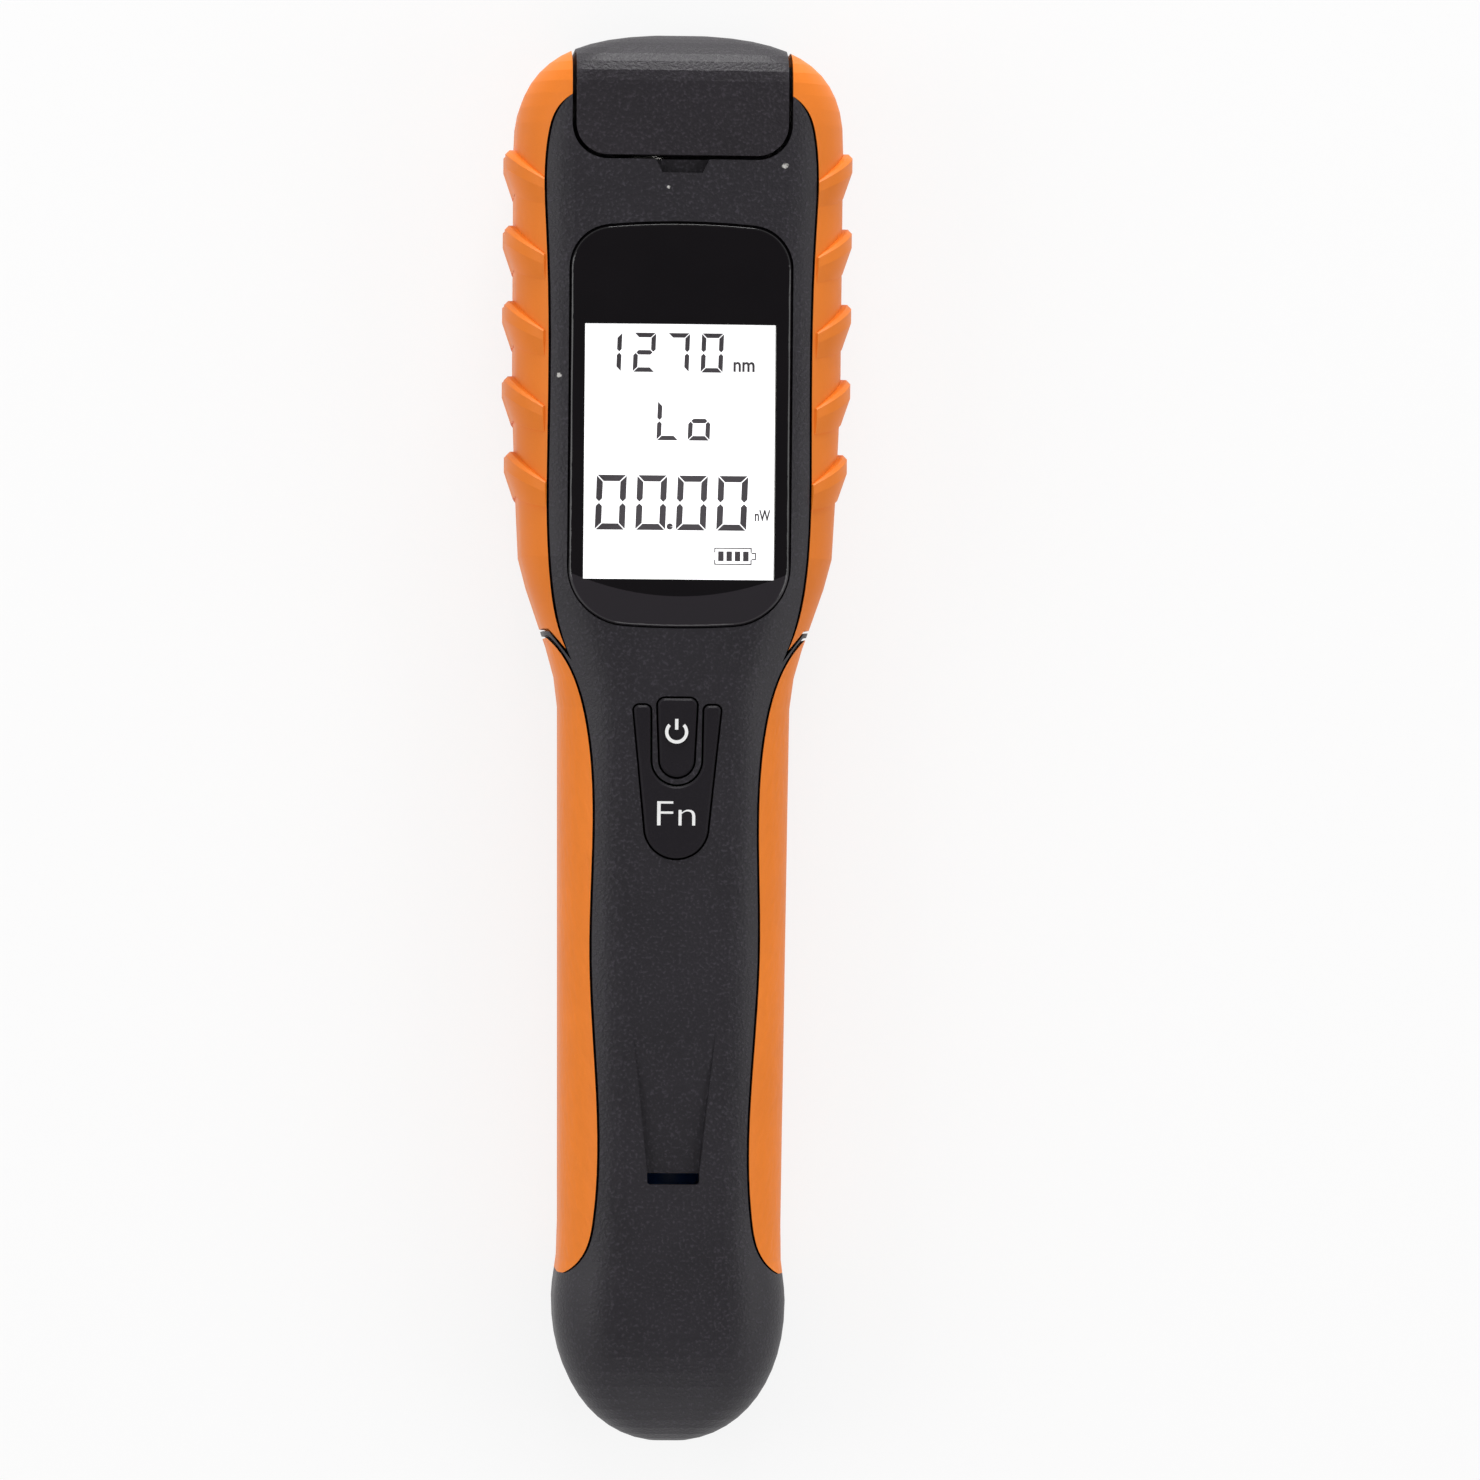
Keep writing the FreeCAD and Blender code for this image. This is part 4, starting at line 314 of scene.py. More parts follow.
@dataclass(frozen=True)
class GripRubber:
    """Soft orange rubber with a fine skin, with slanting streaks where the grip has them."""

    name: str
    colour: Colour = (247, 132, 40)
    roughness: float = 0.46
    streak_depth: float = 0.0
    streak_turn: float = 0.0
    streak_pitch: float = 0.8 * MM
    streak_stretch: Colour = (1.0, 6.0, 1.0)
    streak_share: float = 0.35
    broad_pitch: float = 14 * MM
    broad_share: float = 0.6
    skin_pitch: float = 0.25 * MM
    skin_share: float = 0.2
    skin_height: float = 0.15
    skin_depth: float = 0.03 * MM
    unevenness: float = 0.15
    contrast: Point = (0.9, 1.06)
    specular: float = 0.22

    def material(self) -> bpy.types.Material:
        """Vary the orange by broad and fine noise, and by noise drawn out along a slant."""
        graph = Graph(self.name)
        broad = graph.noise(self.broad_pitch, 2.0)
        skin = graph.noise(self.skin_pitch, 2.0)
        height = skin * self.skin_height
        share = broad * self.broad_share + skin * self.skin_share
        if self.streak_depth:
            streak = graph.noise(self.streak_pitch, 2.0, self.streak_stretch, self.streak_turn)
            height = height + streak
            share = share + streak * self.streak_share
        deep, bright = (linear(tint(self.colour, factor)) for factor in self.contrast)
        depth = max(self.streak_depth, self.skin_depth)
        return graph.surface({
            "Base Color": graph.mix(share, deep, bright),
            "Roughness": self.roughness + (skin - 0.5) * self.unevenness,
            "Specular IOR Level": self.specular, "Normal": graph.bump(height, depth)})


@dataclass(frozen=True)
class PrintedLens:
    """Gloss lens, printed black on its back but clear over the display."""

    name: str
    window_centre: Point
    window_half: Point
    edge_height: float = 20.2 * MM
    edge_rise: float = 2.3 * MM
    edge_half: float = 13 * MM
    softness: float = 0.04 * MM
    smudge: float = 0.05
    smudge_pitch: float = 12 * MM
    gloss: float = 0.045
    clearness: float = 0.97
    blacks: tuple[Colour, Colour] = ((14, 12, 15), (22, 19, 22))
    charcoal: Colour = (46, 43, 47)

    def material(self) -> bpy.types.Material:
        """Keep the lens opaque outside a rectangle and clear within it, with faint smudges.

        The print is black down to an edge that rises with the square of the distance from the
        middle, and charcoal below it.
        """
        graph = Graph(self.name)
        along_x, along_y, _ = graph.axes()
        edge = self.softness
        inside = 1.0
        for along, centre, half in zip((along_x, along_y), self.window_centre, self.window_half):
            inside = (1.0 - graph.step(abs(along - centre), half - edge, half + edge)) * inside
        smear = graph.noise(self.smudge_pitch, 3.0)
        black = graph.mix(smear, *(linear(colour) for colour in self.blacks))
        aside = along_x / self.edge_half
        over = along_y - aside * aside * self.edge_rise - self.edge_height
        below = 1.0 - graph.step(over, -edge, edge)
        printed = graph.mix(below, black, linear(self.charcoal))
        return graph.surface({
            "Base Color": printed, "Roughness": self.gloss + smear * self.smudge,
            "Alpha": 1.0 - inside * self.clearness})


@dataclass(frozen=True)
class LitPanel:
    """White segment display, lit from behind; its emission is partly the backlight and partly
    painted light that washes out the shade of the window's frame.
    """

    name: str
    backlight_and_painted_glow: float
    whites: tuple[Colour, Colour] = ((250, 250, 251), (254, 254, 255))
    pitch: float = 8 * MM
    roughness: float = 0.35
    specular: float = 0.1

    def material(self) -> bpy.types.Material:
        """Vary the white by a trace of broad noise."""
        graph = Graph(self.name)
        white = graph.mix(graph.noise(self.pitch, 1.0), *(linear(colour) for colour in self.whites))
        return graph.surface({
            "Base Color": white, "Roughness": self.roughness, "Specular IOR Level": self.specular,
            # Emission is partly the backlight and partly painted light, set high enough to hide the
            # frame's shade on the panel.
            "Emission Color": white, "Emission Strength": self.backlight_and_painted_glow})


@dataclass(frozen=True)
class PlainPlastic:
    """Plain moulded plastic or rubber, with a slight mottle and a fine skin."""

    name: str
    colour: Colour
    roughness: float = 0.45
    skin: float = 0.02 * MM
    mottle_pitch: float = 4 * MM
    grain: float = 0.3 * MM
    low: float = 0.92
    unevenness: float = 0.1

    def material(self) -> bpy.types.Material:
        """Vary colour and roughness a little by noise."""
        graph = Graph(self.name)
        mottle = graph.noise(self.mottle_pitch, 3.0)
        grain = graph.noise(self.grain, 1.0)
        colour = graph.mix(mottle, linear(tint(self.colour, self.low)), linear(self.colour))
        return graph.surface({
            "Base Color": colour, "Roughness": self.roughness + (grain - 0.5) * self.unevenness,
            "Normal": graph.bump(grain, self.skin)})


@dataclass(frozen=True)
class TurnedMetal:
    """Metal with the fine marks of turning or drawing and a slightly uneven sheen."""

    name: str
    colour: Colour
    roughness: float = 0.25
    marks: float = 0.012 * MM
    mark_pitch: float = 0.12 * MM
    mark_stretch: Colour = (8.0, 1.0, 8.0)
    stain_pitch: float = 3 * MM
    low: float = 0.85
    unevenness: float = 0.2

    def material(self) -> bpy.types.Material:
        """Draw fine marks by noise that is stretched round the part."""
        graph = Graph(self.name)
        fine = graph.noise(self.mark_pitch, 2.0, self.mark_stretch)
        stain = graph.noise(self.stain_pitch, 3.0)
        colour = graph.mix(stain, linear(tint(self.colour, self.low)), linear(self.colour))
        rough = self.roughness + (fine - 0.5) * self.unevenness
        return graph.surface({
            "Base Color": colour, "Metallic": 1.0, "Roughness": rough,
            "Normal": graph.bump(fine, self.marks)})


@dataclass(frozen=True)
class SolderMask:
    """Green circuit board with faint tracks under its mask."""

    name: str
    colour: Colour = (24, 96, 52)
    pitch: float = 1.3 * MM
    track_edge: Point = (0.02, 0.05)
    light: float = 1.35
    roughness: float = 0.3
    track_height: float = 0.02 * MM

    def material(self) -> bpy.types.Material:
        """Lighten narrow bands where the noise is near its middle, as tracks show through."""
        graph = Graph(self.name)
        paths = graph.noise(self.pitch, 0.0)
        track = 1.0 - graph.step(abs(paths - 0.5), *self.track_edge)
        colour = graph.mix(track, linear(self.colour), linear(tint(self.colour, self.light)))
        return graph.surface({
            "Base Color": colour, "Roughness": self.roughness,
            "Normal": graph.bump(track, self.track_height)})


class Finish(Enum):
    """The finishes of the meter."""

    CASING = SparkPlastic("casing_plastic", (39, 36, 42), marks=(
        (14.5 * MM, 81.2 * MM, 0.62 * MM), (-2.0 * MM, 78.0 * MM, 0.36 * MM),
        (-17.1 * MM, 51.3 * MM, 0.5 * MM), (-8.4 * MM, 17.0 * MM, 0.36 * MM)))
    CAP = SparkPlastic("cap_plastic", (37, 33, 39))
    KEY = SparkPlastic("key_plastic", (31, 28, 33), grain=0.2 * MM, depth=0.015 * MM, sparkle=0.12,
                       specular=0.2)
    UPPER_GRIP = GripRubber("upper_grip_rubber")
    LOWER_GRIP_LEFT = GripRubber("lower_grip_rubber_left", streak_depth=0.09 * MM,
                                 streak_turn=24.0)
    LOWER_GRIP_RIGHT = GripRubber("lower_grip_rubber_right", streak_depth=0.09 * MM,
                                  streak_turn=-24.0)
    STEEL = TurnedMetal("steel", (170, 170, 172))
    NICKEL = TurnedMetal("nickel_plate", (205, 203, 198), 0.18)
    GOLD = TurnedMetal("gold_contact", (226, 180, 90), 0.22)
    CERAMIC = PlainPlastic("ceramic_sleeve", (236, 235, 230), 0.25, 0.005 * MM)
    BLACK_PLASTIC = PlainPlastic("black_plastic", (30, 30, 32))
    WHITE_PLASTIC = PlainPlastic("white_plastic", (228, 228, 224))
    BLACK_RUBBER = PlainPlastic("black_rubber", (24, 24, 25), 0.7)
    DIFFUSER = PlainPlastic("diffuser", (238, 240, 243), 0.3)
    CELL_WRAP = PlainPlastic("cell_wrap", (46, 92, 160), 0.3)
    RED_LEAD = PlainPlastic("red_lead", (176, 30, 28), 0.5)
    BOARD = SolderMask("circuit_board")
    SEGMENT = PlainPlastic("display_segment", (88, 83, 88), 0.6, 0.002 * MM)
    KEY_PRINT = PlainPlastic("key_print", (255, 255, 255), 0.5, 0.004 * MM)

    @cache
    def material(self) -> bpy.types.Material:
        """Return the finish's material, made once."""
        return self.value.material()


def dress(node: str, material: bpy.types.Material) -> None:
    """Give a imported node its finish.

    Args:
        node: Name of the node.
        material: The finish's material.
    """
    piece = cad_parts[node]
    if not piece.material_slots:
        piece.data.materials.append(material)
    for slot in piece.material_slots:
        slot.material = material


def keep(name: str, points: np.ndarray, faces: Faces, finish: Finish, body: str,
         smooth: bool = False) -> bpy.types.Object:
    """Make a piece of the object from its points and faces and let it ride on a body.

    Args:
        name: Name of the piece.
        points: Points in metres, one row each.
        faces: Point numbers of each face.
        finish: The piece's finish.
        body: Body that it rides on.
        smooth: True for a smooth surface.

    Returns:
        The new object.
    """
    mesh = bpy.data.meshes.new(name)
    mesh.from_pydata(points.tolist(), [], faces)
    mesh.update()
    mesh.polygons.foreach_set("use_smooth", np.full(len(mesh.polygons), smooth))
    mesh.materials.append(finish.material())
    piece = bpy.data.objects.new(name, mesh)
    bpy.context.scene.collection.objects.link(piece)
    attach(piece, body)
    REPORT.info("%s: %d faces, rides on %s", name, len(faces), body)
    return piece


def plate(outline: np.ndarray, low: float, high: float) -> Shape:
    """Raise a flat outline into a thin plate: the outline at two heights, joined by sides.

    Args:
        outline: Points of the outline, anticlockwise, two columns.
        low: Height of the plate's foot.
        high: Height of its top.

    Returns:
        Points and faces of the closed plate.
    """
    count = len(outline)
    levels = [np.column_stack([outline, np.full(count, level)]) for level in (low, high)]
    around = np.arange(count)
    after = (around + 1) % count
    sides = np.column_stack([around, after, after + count, around + count])
    faces = [tuple(around[::-1].tolist()), tuple((around + count).tolist())]
    faces += [tuple(row) for row in sides.tolist()]
    return np.vstack(levels), faces


def gather(parts: list[Shape]) -> Shape:
    """Put several sets of points and faces together as one mesh.

    Args:
        parts: Points and faces of each part.

    Returns:
        All points, and all faces with their point numbers moved up.
    """
    points, faces, start = [], [], 0
    for part_points, part_faces in parts:
        points.append(part_points)
        faces += [tuple(number + start for number in face) for face in part_faces]
        start += len(part_points)
    return np.vstack(points), faces


def arc_band(centre: Point, radius: float, width: float, start: float, end: float,
             steps: int = 40) -> np.ndarray:
    """Outline of a curved band: an outer arc, then an inner arc back, both about one centre.

    Args:
        centre: Centre of the arcs.
        radius: Outer radius.
        width: Width of the band.
        start: Angle of the first end, in degrees from +X.
        end: Angle of the other end.
        steps: Number of steps along each arc.

    Returns:
        Points of the outline, anticlockwise.
    """
    angles = np.radians(np.linspace(start, end, steps + 1))
    ring = np.column_stack([np.cos(angles), np.sin(angles)])
    return np.vstack([ring * radius, ring[::-1] * (radius - width)]) + np.array(centre)


def bar(x: Point, y: Point) -> np.ndarray:
    """Outline of an upright rectangle between two X and two Y values."""
    return np.array([(x[0], y[0]), (x[1], y[0]), (x[1], y[1]), (x[0], y[1])])


@dataclass
class SegmentFont:
    """Seven-segment figures of one size, with mitred ends and a slight slant."""

    width: float
    height: float
    thickness: float
    gap: float
    slant: float = 0.033

    STROKES = {"0": "abcdef", "1": "bc", "2": "abged", "7": "abc", "L": "fed", "o": "cdeg"}

    def segments(self) -> dict[str, np.ndarray]:
        """Return the outline of each segment in a cell whose lower left corner is at 0, 0."""
        w, h, t, m = self.width, self.height, self.thickness, self.gap
        mid, half = h / 2, t / 2
        upper = [(0, h - m), (0, mid + half + m), (half, mid + m), (t, mid + half + m),
                 (t, h - t - m)]
        top = [(m, h), (t + m, h - t), (w - t - m, h - t), (w - m, h)]
        middle = [(half + m, mid), (t + m, mid - half), (w - t - m, mid - half),
                  (w - half - m, mid), (w - t - m, mid + half), (t + m, mid + half)]
        found = {"f": np.array(upper), "a": np.array(top), "g": np.array(middle)}
        across = np.array([w, 0]) + np.array([-1, 1]) * found["f"]
        found["b"] = across[::-1]
        for name, source in (("e", "f"), ("c", "b"), ("d", "a")):
            found[name] = (np.array([0, h]) + np.array([1, -1]) * found[source])[::-1]
        return found

    def figure(self, sign: str, corner: Point) -> list[np.ndarray]:
        """Return the outlines of one figure.

        Args:
            sign: The figure.
            corner: Lower left corner of its cell.

        Returns:
            One outline for each lit segment.
        """
        segments = self.segments()
        lit = []
        for stroke in self.STROKES[sign]:
            outline = segments[stroke].astype(float).copy()
            outline[:, 0] += (outline[:, 1] - self.height / 2) * self.slant
            lit.append(outline + np.array(corner))
        return lit


@dataclass
class Casing:
    """Both halves of the casing, the port plate and the grips, as packed."""

    grips: tuple[tuple[str, Finish], ...] = (
        ("upper_grip_left", Finish.UPPER_GRIP),
        ("upper_grip_right", Finish.UPPER_GRIP),
        ("lower_grip_left", Finish.LOWER_GRIP_LEFT),
        ("lower_grip_right", Finish.LOWER_GRIP_RIGHT),
    )

    def build(self) -> None:
        """Dress the shells, the plate and the grips."""
        for node in ("front_shell", "rear_shell", "port_plate"):
            dress(node, Finish.CASING.material())
        for node, finish in self.grips:
            dress(node, finish.material())


@dataclass
class OpticalPort:
    """The optical adapter with the thread on its collar, its sleeve and the photodiode."""

    pitch: float = 0.75 * MM
    crest: float = 0.1 * MM
    root: float = 0.02 * MM
    margin: float = 0.35 * MM
    radius: float = 4.0 * MM
    length: float = 6.5 * MM
    around: int = 72
    along: int = 96
    taper_rate: float = 12.0

    def thread(self) -> bpy.types.Object:
        """Wind the collar's thread.

        The radius is the collar's own, plus a crest that rises and falls as a triangle wave of the
        distance along the axis less the share of a turn; both ends taper to the collar.

        Returns:
            The thread piece.
        """
        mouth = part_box("optical_adapter")[1].y
        sleeve_low, sleeve_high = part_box("ferrule_sleeve")
        centre_x = (sleeve_low.x + sleeve_high.x) / 2
        centre_z = (sleeve_low.z + sleeve_high.z) / 2
        start = mouth - self.length + self.margin
        end = mouth - self.margin
        around, along = self.around, self.along
        turn = np.linspace(0.0, 2 * np.pi, around, endpoint=False)[None, :]
        share = np.linspace(0.0, 1.0, along)[:, None]
        y = start + (end - start) * share
        wave = np.abs(((y / self.pitch - turn / (2 * np.pi)) % 1.0) * 2 - 1)
        taper = np.clip(np.minimum(share, 1 - share) * self.taper_rate, 0.0, 1.0)
        reach = self.radius - self.root + (self.crest + self.root) * wave * taper
        grid = np.stack([centre_x + reach * np.sin(turn), np.broadcast_to(y, reach.shape),
                         centre_z + reach * np.cos(turn)], axis=-1)
        rows = np.arange(along - 1)[:, None] * around
        columns = np.arange(around)[None, :]
        first = rows + columns
        second = rows + (columns + 1) % around
        quads = np.stack([first, second, second + around, first + around], axis=-1).reshape(-1, 4)
        faces = [tuple(row) for row in quads.tolist()]
        faces.append(tuple(range(around))[::-1])
        faces.append(tuple(range((along - 1) * around, along * around)))
        return keep("collar_thread", grid.reshape(-1, 3), faces, Finish.NICKEL, "casing",
                    True)

    def build(self) -> None:
        """Dress the port's nodes and add the thread."""
        for node in ("optical_adapter", "adapter_nut", "photodiode"):
            dress(node, Finish.NICKEL.material())
        dress("ferrule_sleeve", Finish.CERAMIC.material())
        self.thread()


@dataclass
class ChargingPort:
    """The charging socket, with gold contacts on its tongue."""

    contacts: int = 5
    contact_width: float = 0.35 * MM
    contact_pitch: float = 0.85 * MM
    thickness: float = 0.03 * MM
    back_inset: float = 1 * MM
    front_inset: float = 0.4 * MM

    def build(self) -> None:
        """Dress the socket and lay the contacts on both sides of the tongue."""
        dress("usb_socket", Finish.STEEL.material())
        dress("usb_tongue", Finish.BLACK_PLASTIC.material())
        low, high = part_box("usb_tongue")
        middle = (low.x + high.x) / 2
        parts = []
        for index in range(self.contacts):
            x = middle + (index - (self.contacts - 1) / 2) * self.contact_pitch
            sides = (x - self.contact_width / 2, x + self.contact_width / 2)
            outline = bar(sides, (low.y + self.back_inset, high.y - self.front_inset))
            parts.append(plate(outline, high.z - self.thickness, high.z + self.thickness))
            parts.append(plate(outline, low.z - self.thickness, low.z + self.thickness))
        points, faces = gather(parts)
        keep("charging_contacts", points, faces, Finish.GOLD, "casing")


@dataclass
class Lettering:
    """A few plain letters, laid flat and fitted to a width and a height."""

    text: str
    extent: Point
    centre: Point
    weight: float = 0.0

    def build(self, name: str, lift: tuple[float, float, float], rise: float, finish: Finish,
              body: str, slot: str) -> bpy.types.Object:
        """Turn the letters into a thin raised mesh, centred on their place.

        Args:
            name: Name of the piece.
            lift: How far the letters are moved, in metres.
            rise: Half of their thickness.
            finish: Their finish.
            body: Body that they ride on.
            slot: Not used.

        Returns:
            The new object.
        """
        curve = bpy.data.curves.new(name, "FONT")
        curve.body = self.text
        curve.extrude = 1.0
        curve.offset = self.weight
        curve.resolution_u = 4
        carrier = bpy.data.objects.new(name + "_outline", curve)
        bpy.context.scene.collection.objects.link(carrier)
        evaluated = carrier.evaluated_get(bpy.context.evaluated_depsgraph_get())
        mesh = bpy.data.meshes.new_from_object(evaluated)
        bpy.data.objects.remove(carrier)
        bpy.data.curves.remove(curve)
        points = np.empty(len(mesh.vertices) * 3)
        mesh.vertices.foreach_get("co", points)
        points = points.reshape(-1, 3)
        low, high = points.min(0), points.max(0)
        scale = np.array([*self.extent, 2 * rise]) / (high - low)
        points = (points - (low + high) / 2) * scale
        points = points + np.array([*self.centre, 0.0]) + np.array(lift)
        faces = [tuple(face.vertices) for face in mesh.polygons]
        bpy.data.meshes.remove(mesh)
        return keep(name, points, faces, finish, body)


@dataclass
class Display:
    """The lens, the lit panel and the figures on it."""

    view_half: Point = (13.55 * MM, 18.03 * MM)
    view_drop: float = 0.27 * MM
    rise: float = 0.04 * MM
    # Partly the backlight and partly painted light: a glow strong enough to hide the shade that the
    # window's frame casts on the panel.
    backlight_and_painted_glow: float = 0.9
    point_centre: Point = (-1.2 * MM, -10.75 * MM)
    point_radius: float = 0.44 * MM
    point_band: float = 0.43 * MM
    point_arc: Point = (0.0, 350.0)
    point_steps: int = 24
    units: tuple[tuple[str, Lettering], ...] = (
        ("wavelength_unit", Lettering("nm", (3.0 * MM, 1.42 * MM), (9.15 * MM, 11.95 * MM), 0.02)),
        ("power_unit", Lettering("nW", (2.2 * MM, 1.6 * MM), (11.95 * MM, -9.1 * MM), 0.02)),
    )

    def centre(self) -> Point:
        """Return the middle of the panel in plan."""
        low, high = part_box("lcd_panel")
        return (low.x + high.x) / 2, (low.y + high.y) / 2

    def figures(self) -> list[np.ndarray]:
        """Return the outlines of all figures, the point and the battery sign."""
        small = SegmentFont(3.12 * MM, 5.54 * MM, 0.64 * MM, 0.09 * MM)
        large = SegmentFont(4.24 * MM, 7.75 * MM, 0.88 * MM, 0.11 * MM)
        rows = (
            (small, "1270", -11.36 * MM, 4.81 * MM, 11.1 * MM),
            (small, "Lo", -3.1 * MM, 4.42 * MM, 1.46 * MM),
            (large, "0000", -11.7 * MM, 5.74 * MM, -11.27 * MM),
        )
        found = []
        for font, signs, left, pitch, foot in rows:
            for index, sign in enumerate(signs):
                found += font.figure(sign, (left + index * pitch, foot))
        found.append(arc_band(self.point_centre, self.point_radius, self.point_band,
                              *self.point_arc, self.point_steps))
        return found + self.battery_sign()

    def battery_sign(self) -> list[np.ndarray]:
        """Return the battery sign's outlines: four bars in a frame of thin lines with a nub."""
        left, right, low, high = 5.15 * MM, 10.45 * MM, -16.1 * MM, -13.68 * MM
        line = 0.15 * MM
        nub = 0.62 * MM
        step = 0.7 * MM
        found = [
            bar((left, right), (high - line, high)),
            bar((left, right), (low, low + line)),
            bar((left, left + line), (high - step, high - line)),
            bar((left, left + line), (low + line, low + step)),
            bar((right - line, right), (high - step, high - line)),
            bar((right - line, right), (low + line, low + step)),
            bar((right, right + nub), (high - step - line, high - step)),
            bar((right, right + nub), (low + step, low + step + line)),
            bar((right + nub - line, right + nub), (low + step + line, high - step - line)),
        ]
        first, pitch, width, inset = 0.55 * MM, 1.18 * MM, 0.78 * MM, 0.52 * MM
        for index in range(4):
            start = left + first + index * pitch
            found.append(bar((start, start + width), (low + inset, high - inset)))
        return found

    def build(self) -> None:
        """Dress the display stack and lay the figures on the panel."""
        centre = self.centre()
        panel = LitPanel("lit_panel", self.backlight_and_painted_glow)
        lens = PrintedLens("printed_lens", (centre[0], centre[1] - self.view_drop), self.view_half)
        dress("lcd_panel", panel.material())
        dress("display_lens", lens.material())
        for node in ("lens_gasket", "lcd_connector"):
            dress(node, Finish.BLACK_RUBBER.material())
        dress("lcd_frame", Finish.WHITE_PLASTIC.material())
        dress("lcd_backlight", Finish.DIFFUSER.material())
        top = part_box("lcd_panel")[1].z
        parts = [plate(outline + np.array(centre), top - self.rise, top + self.rise)
                 for outline in self.figures()]
        points, faces = gather(parts)
        keep("display_figures", points, faces, Finish.SEGMENT, "casing")
        for name, lettering in self.units:
            lettering.build(name, (*centre, top), self.rise, Finish.SEGMENT, "casing",
                            "display_glass")


@dataclass
class Keys:
    """Both keys with their prints, and the switches under them."""

    print_rise: float = 0.02 * MM
    ring: float = 1.64 * MM
    stroke: float = 0.47 * MM
    symbol_centre: Point = (-0.1 * MM, 1.05 * MM)
    fn_centre: Point = (-0.05 * MM, -10.45 * MM)
    fn_extent: Point = (5.4 * MM, 3.4 * MM)
    fn_weight: float = -0.012
    ring_angles: Point = (135.0, 405.0)
    bar_ends: Point = (0.33 * MM, 1.86 * MM)
    reach: float = 4 * MM

    def top_at(self, node: str, centre: Point) -> float:
        """Return the height of a key's top near a place.

        Args:
            node: Name of the key's node.
            centre: The place in plan.

        Returns:
            The greatest height found there.
        """
        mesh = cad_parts[node].data
        points = np.empty(len(mesh.vertices) * 3)
        mesh.vertices.foreach_get("co", points)
        points = points.reshape(-1, 3)
        near = np.hypot(points[:, 0] - centre[0], points[:, 1] - centre[1]) < self.reach
        return float(points[near, 2].max()) if near.any() else float(points[:, 2].max())

    def power_sign(self) -> None:
        """Print the power sign: a ring open at the top, and a short bar in the opening."""
        top = self.top_at("power_key", self.symbol_centre)
        x, y = self.symbol_centre
        half = self.stroke / 2
        ring = arc_band(self.symbol_centre, self.ring, self.stroke, *self.ring_angles)
        short = bar((x - half, x + half), tuple(y + end for end in self.bar_ends))
        points, faces = gather([plate(outline, top - self.print_rise, top + self.print_rise)
                                for outline in (ring, short)])
        keep("power_sign", points, faces, Finish.KEY_PRINT, "power_key")

    def build(self) -> None:
        """Dress the keys and switches and print both keys."""
        for node in ("power_key", "fn_key"):
            dress(node, Finish.KEY.material())
        for node in ("power_switch", "fn_switch"):
            dress(node, Finish.BLACK_PLASTIC.material())
        for node in ("power_switch_plunger", "fn_switch_plunger"):
            dress(node, Finish.WHITE_PLASTIC.material())
        self.power_sign()
        top = self.top_at("fn_key", self.fn_centre)
        letters = Lettering("Fn", self.fn_extent, self.fn_centre, self.fn_weight)
        letters.build("fn_letters", (0.0, 0.0, top), self.print_rise, Finish.KEY_PRINT,
                      "function_key", "white_plastic")


@dataclass
class Electronics:
    """Boards, chips, battery and leads inside the casing."""

    finishes: tuple[tuple[str, Finish], ...] = (
        ("main_board", Finish.BOARD),
        ("port_board", Finish.BOARD),
        ("microcontroller", Finish.BLACK_PLASTIC),
        ("amplifier_chip", Finish.BLACK_PLASTIC),
        ("charger_chip", Finish.BLACK_PLASTIC),
        ("battery_connector", Finish.WHITE_PLASTIC),
        ("battery_cell", Finish.CELL_WRAP),
        ("battery_lead_red", Finish.RED_LEAD),
        ("battery_lead_black", Finish.BLACK_PLASTIC),
    )

    def build(self) -> None:
        """Dress the pieces inside."""
        for node, finish in self.finishes:
            dress(node, finish.material())


@dataclass
class CapAndFasteners:
    """The flip cap with its seal and hinge pin, and the screws."""

    def build(self) -> None:
        """Dress the cap, its seal, the pin and the screws."""
        dress("flip_cap", Finish.CAP.material())
        dress("cap_seal", Finish.BLACK_RUBBER.material())
        for node in ("cap_hinge_pin", "case_screws", "board_screws"):
            dress(node, Finish.STEEL.material())


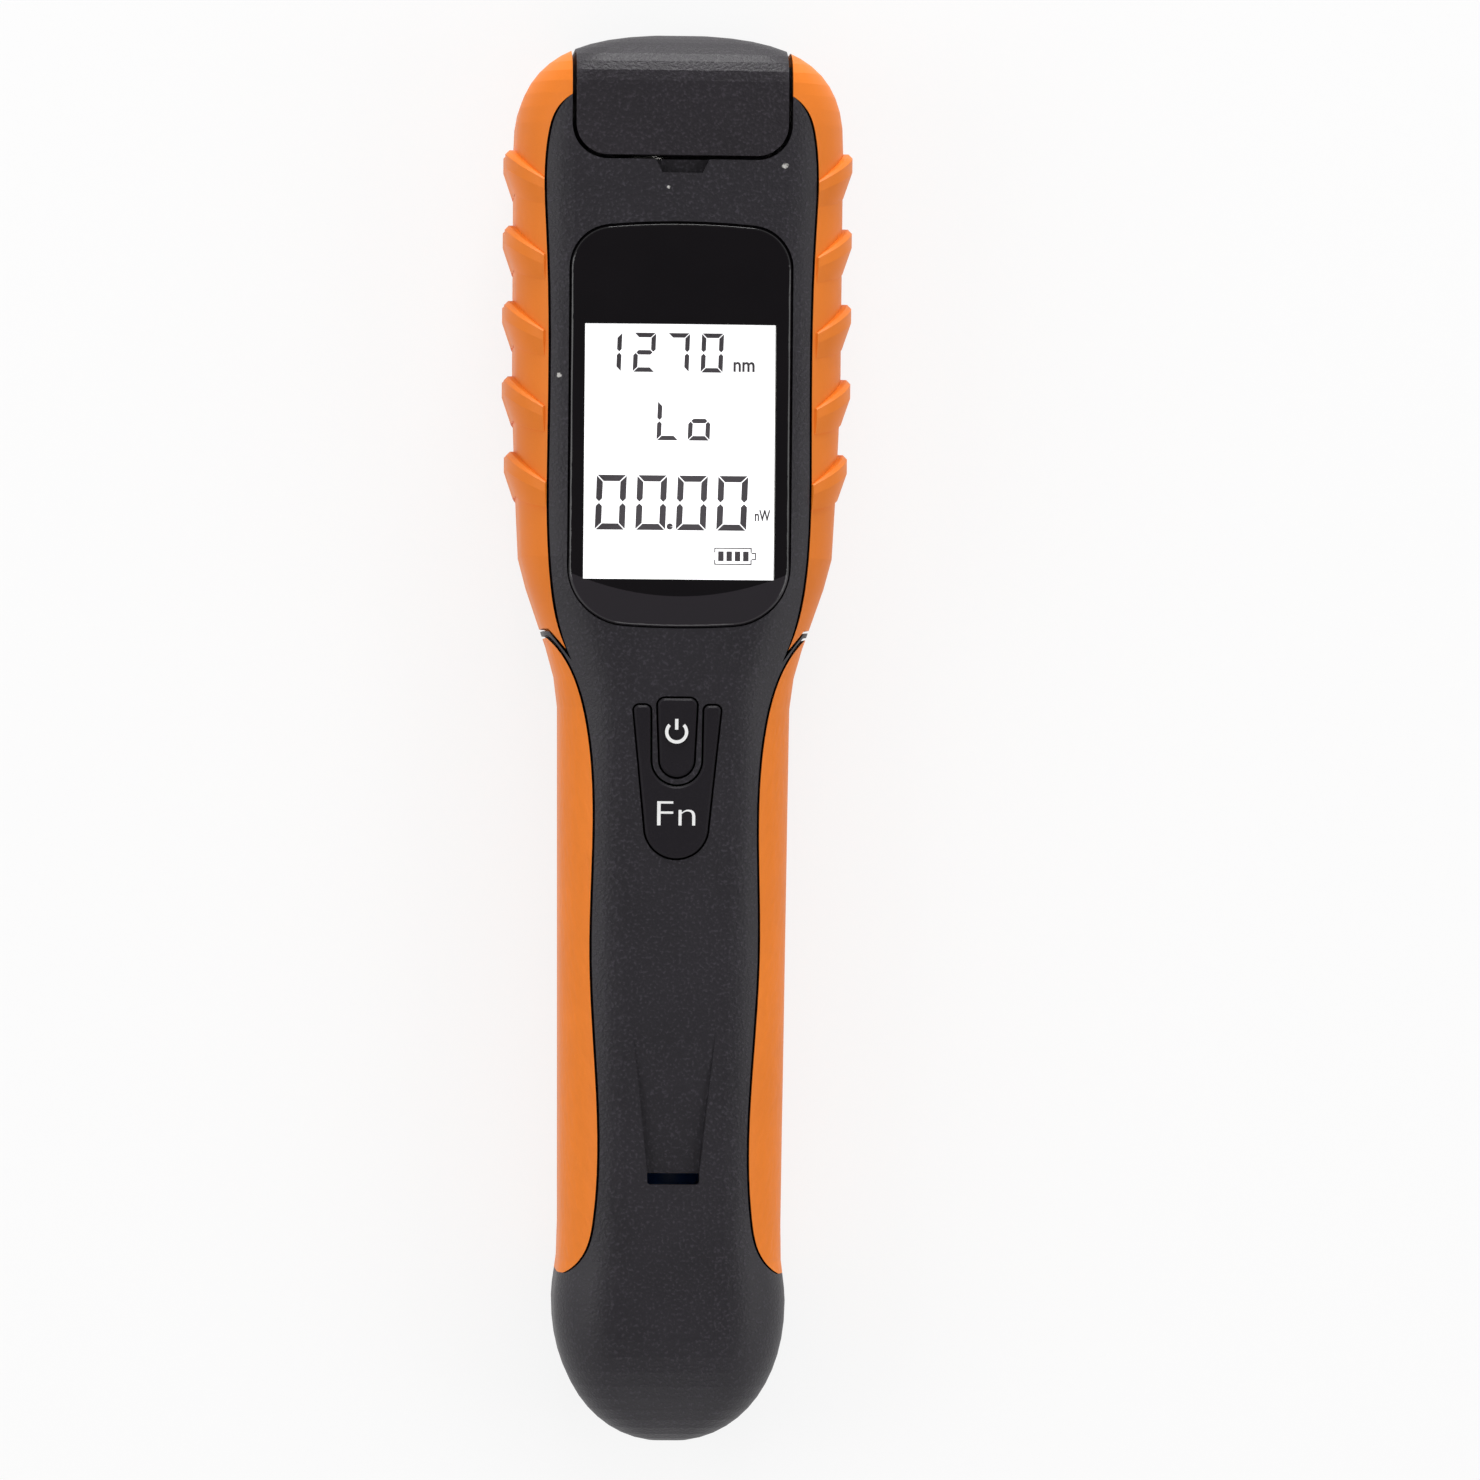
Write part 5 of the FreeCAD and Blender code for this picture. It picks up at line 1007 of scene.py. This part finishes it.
@dataclass
class Studio:
    """Pale floor, soft lights, pale surroundings and the camera over the meter."""

    frame_width: float = 210.5 * MM
    distance: float = 1.2
    aim: Point = (9.4 * MM, 0.0)
    aim_height: float = 20 * MM
    sensor: float = 36.0
    view_end: float = 20.0
    side_turn: float = 2.8
    roll: float = 0.49
    ambient: float = 0.62
    dim_heights: Point = (0.45, 0.9)
    dim_share: float = 0.1
    floor_white: float = 0.82
    floor_half: float = 3.0
    floor_drop: float = 0.05 * MM
    floor_papers: tuple[Colour, Colour] = ((244, 244, 245), (248, 248, 248))
    floor_grain: float = 2 * MM
    floor_roughness: float = 0.9
    floor_specular: float = 0.1
    panels: tuple[tuple[str, tuple[float, float, float], float, float], ...] = (
        ("cap_side", (0.05, 0.9, 0.22), 0.4, 6.2),
        ("left_side", (-0.75, 0.05, 0.6), 0.5, 2.0),
        ("right_side", (0.75, -0.1, 0.6), 0.5, 1.6),
        ("tail_side", (0.0, -0.8, 0.6), 0.4, 0.8),
    )

    def floor(self) -> None:
        """Lay a wide pale floor; what is seen of it is part plain white, part shadowed paper."""
        mesh = bpy.data.meshes.new("floor")
        half, level = self.floor_half, -self.floor_drop
        corners = [(-half, -half, level), (half, -half, level),
                   (half, half, level), (-half, half, level)]
        mesh.from_pydata(corners, [], [(0, 1, 2, 3)])
        graph = Graph("floor_paper")
        grain = graph.noise(self.floor_grain, 2.0)
        paper = graph.mix(grain, *(linear(colour) for colour in self.floor_papers))
        lit = graph.node("ShaderNodeBsdfPrincipled", inputs={
            "Base Color": paper, "Roughness": self.floor_roughness,
            "Specular IOR Level": self.floor_specular})
        plain = graph.node("ShaderNodeEmission", inputs={"Strength": 1.0})
        both = graph.node("ShaderNodeMixShader", inputs={
            0: graph.seen() * self.floor_white, 1: Signal(graph, lit.outputs[0]),
            2: Signal(graph, plain.outputs[0])})
        graph.tree.links.new(both.outputs[0], graph.output.inputs["Surface"])
        mesh.materials.append(graph.holder)
        floor = bpy.data.objects.new("floor", mesh)
        bpy.context.scene.collection.objects.link(floor)
        floor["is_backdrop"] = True

    def world(self) -> None:
        """Light softly from all round; seen or mirrored, it is white, and dim overhead."""
        graph = Graph("studio", surroundings=True)
        seen = graph.seen()
        direction = graph.node("ShaderNodeSeparateXYZ", inputs={
            0: graph.read("ShaderNodeTexCoord", "Generated")})
        height = Signal(graph, direction.outputs[2])
        mirrored = graph.step(height, *self.dim_heights, 1.0, self.dim_share)
        strength = seen * mirrored + (1.0 - seen) * self.ambient
        background = graph.node("ShaderNodeBackground", inputs={"Strength": strength})
        graph.tree.links.new(background.outputs[0], graph.output.inputs["Surface"])
        bpy.context.scene.world = graph.holder

    def lights(self) -> None:
        """Hang the soft panels: one beyond the cap, one at each side and one past the tail."""
        for name, place, side, power in self.panels:
            data = bpy.data.lights.new(name, "AREA")
            data.shape = "SQUARE"
            data.size = side
            data.energy = power
            lamp = bpy.data.objects.new(name, data)
            lamp.location = place
            towards = Vector((0, 0, 0)) - Vector(place)
            lamp.rotation_euler = towards.to_track_quat("-Z", "Y").to_euler()
            bpy.context.scene.collection.objects.link(lamp)

    def camera(self) -> None:
        """Look down from a little to the left, with the meter leaning a trace to the right."""
        data = bpy.data.cameras.new("camera")
        data.sensor_width = self.sensor
        data.lens = self.sensor * self.distance / self.frame_width
        data.clip_end = self.view_end
        camera = bpy.data.objects.new("camera", data)
        target = Vector((*self.aim, self.aim_height))
        offset = self.distance * math.tan(math.radians(self.side_turn))
        place = Vector((-offset, self.aim[1], self.aim_height + self.distance))
        back = (place - target).normalized()
        turn = math.radians(self.roll)
        up = Vector((-math.sin(turn), math.cos(turn), 0.0))
        right = up.cross(back).normalized()
        up = back.cross(right)
        basis = Matrix((right, up, back)).transposed().to_4x4()
        camera.matrix_world = Matrix.Translation(place) @ basis
        bpy.context.scene.collection.objects.link(camera)
        bpy.context.scene.camera = camera

    def build(self) -> None:
        """Set up the studio."""
        bpy.context.scene.view_settings.view_transform = "Standard"
        self.floor()
        self.world()
        self.lights()
        self.camera()


def main() -> None:
    """Build the studio and every sub-assembly in order."""
    logging.basicConfig(level=logging.INFO, format="%(message)s")
    Studio().build()
    for assembly in (Casing(), OpticalPort(), ChargingPort(), Display(), Keys(), Electronics(),
                     CapAndFasteners()):
        assembly.build()
        REPORT.info("%s done", type(assembly).__name__)
    boxes = {name: [list(corner) for corner in box]
             for name, box in (("cad", CAD_BOX), ("visual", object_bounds()))}


if __name__ == "__main__":
    main()
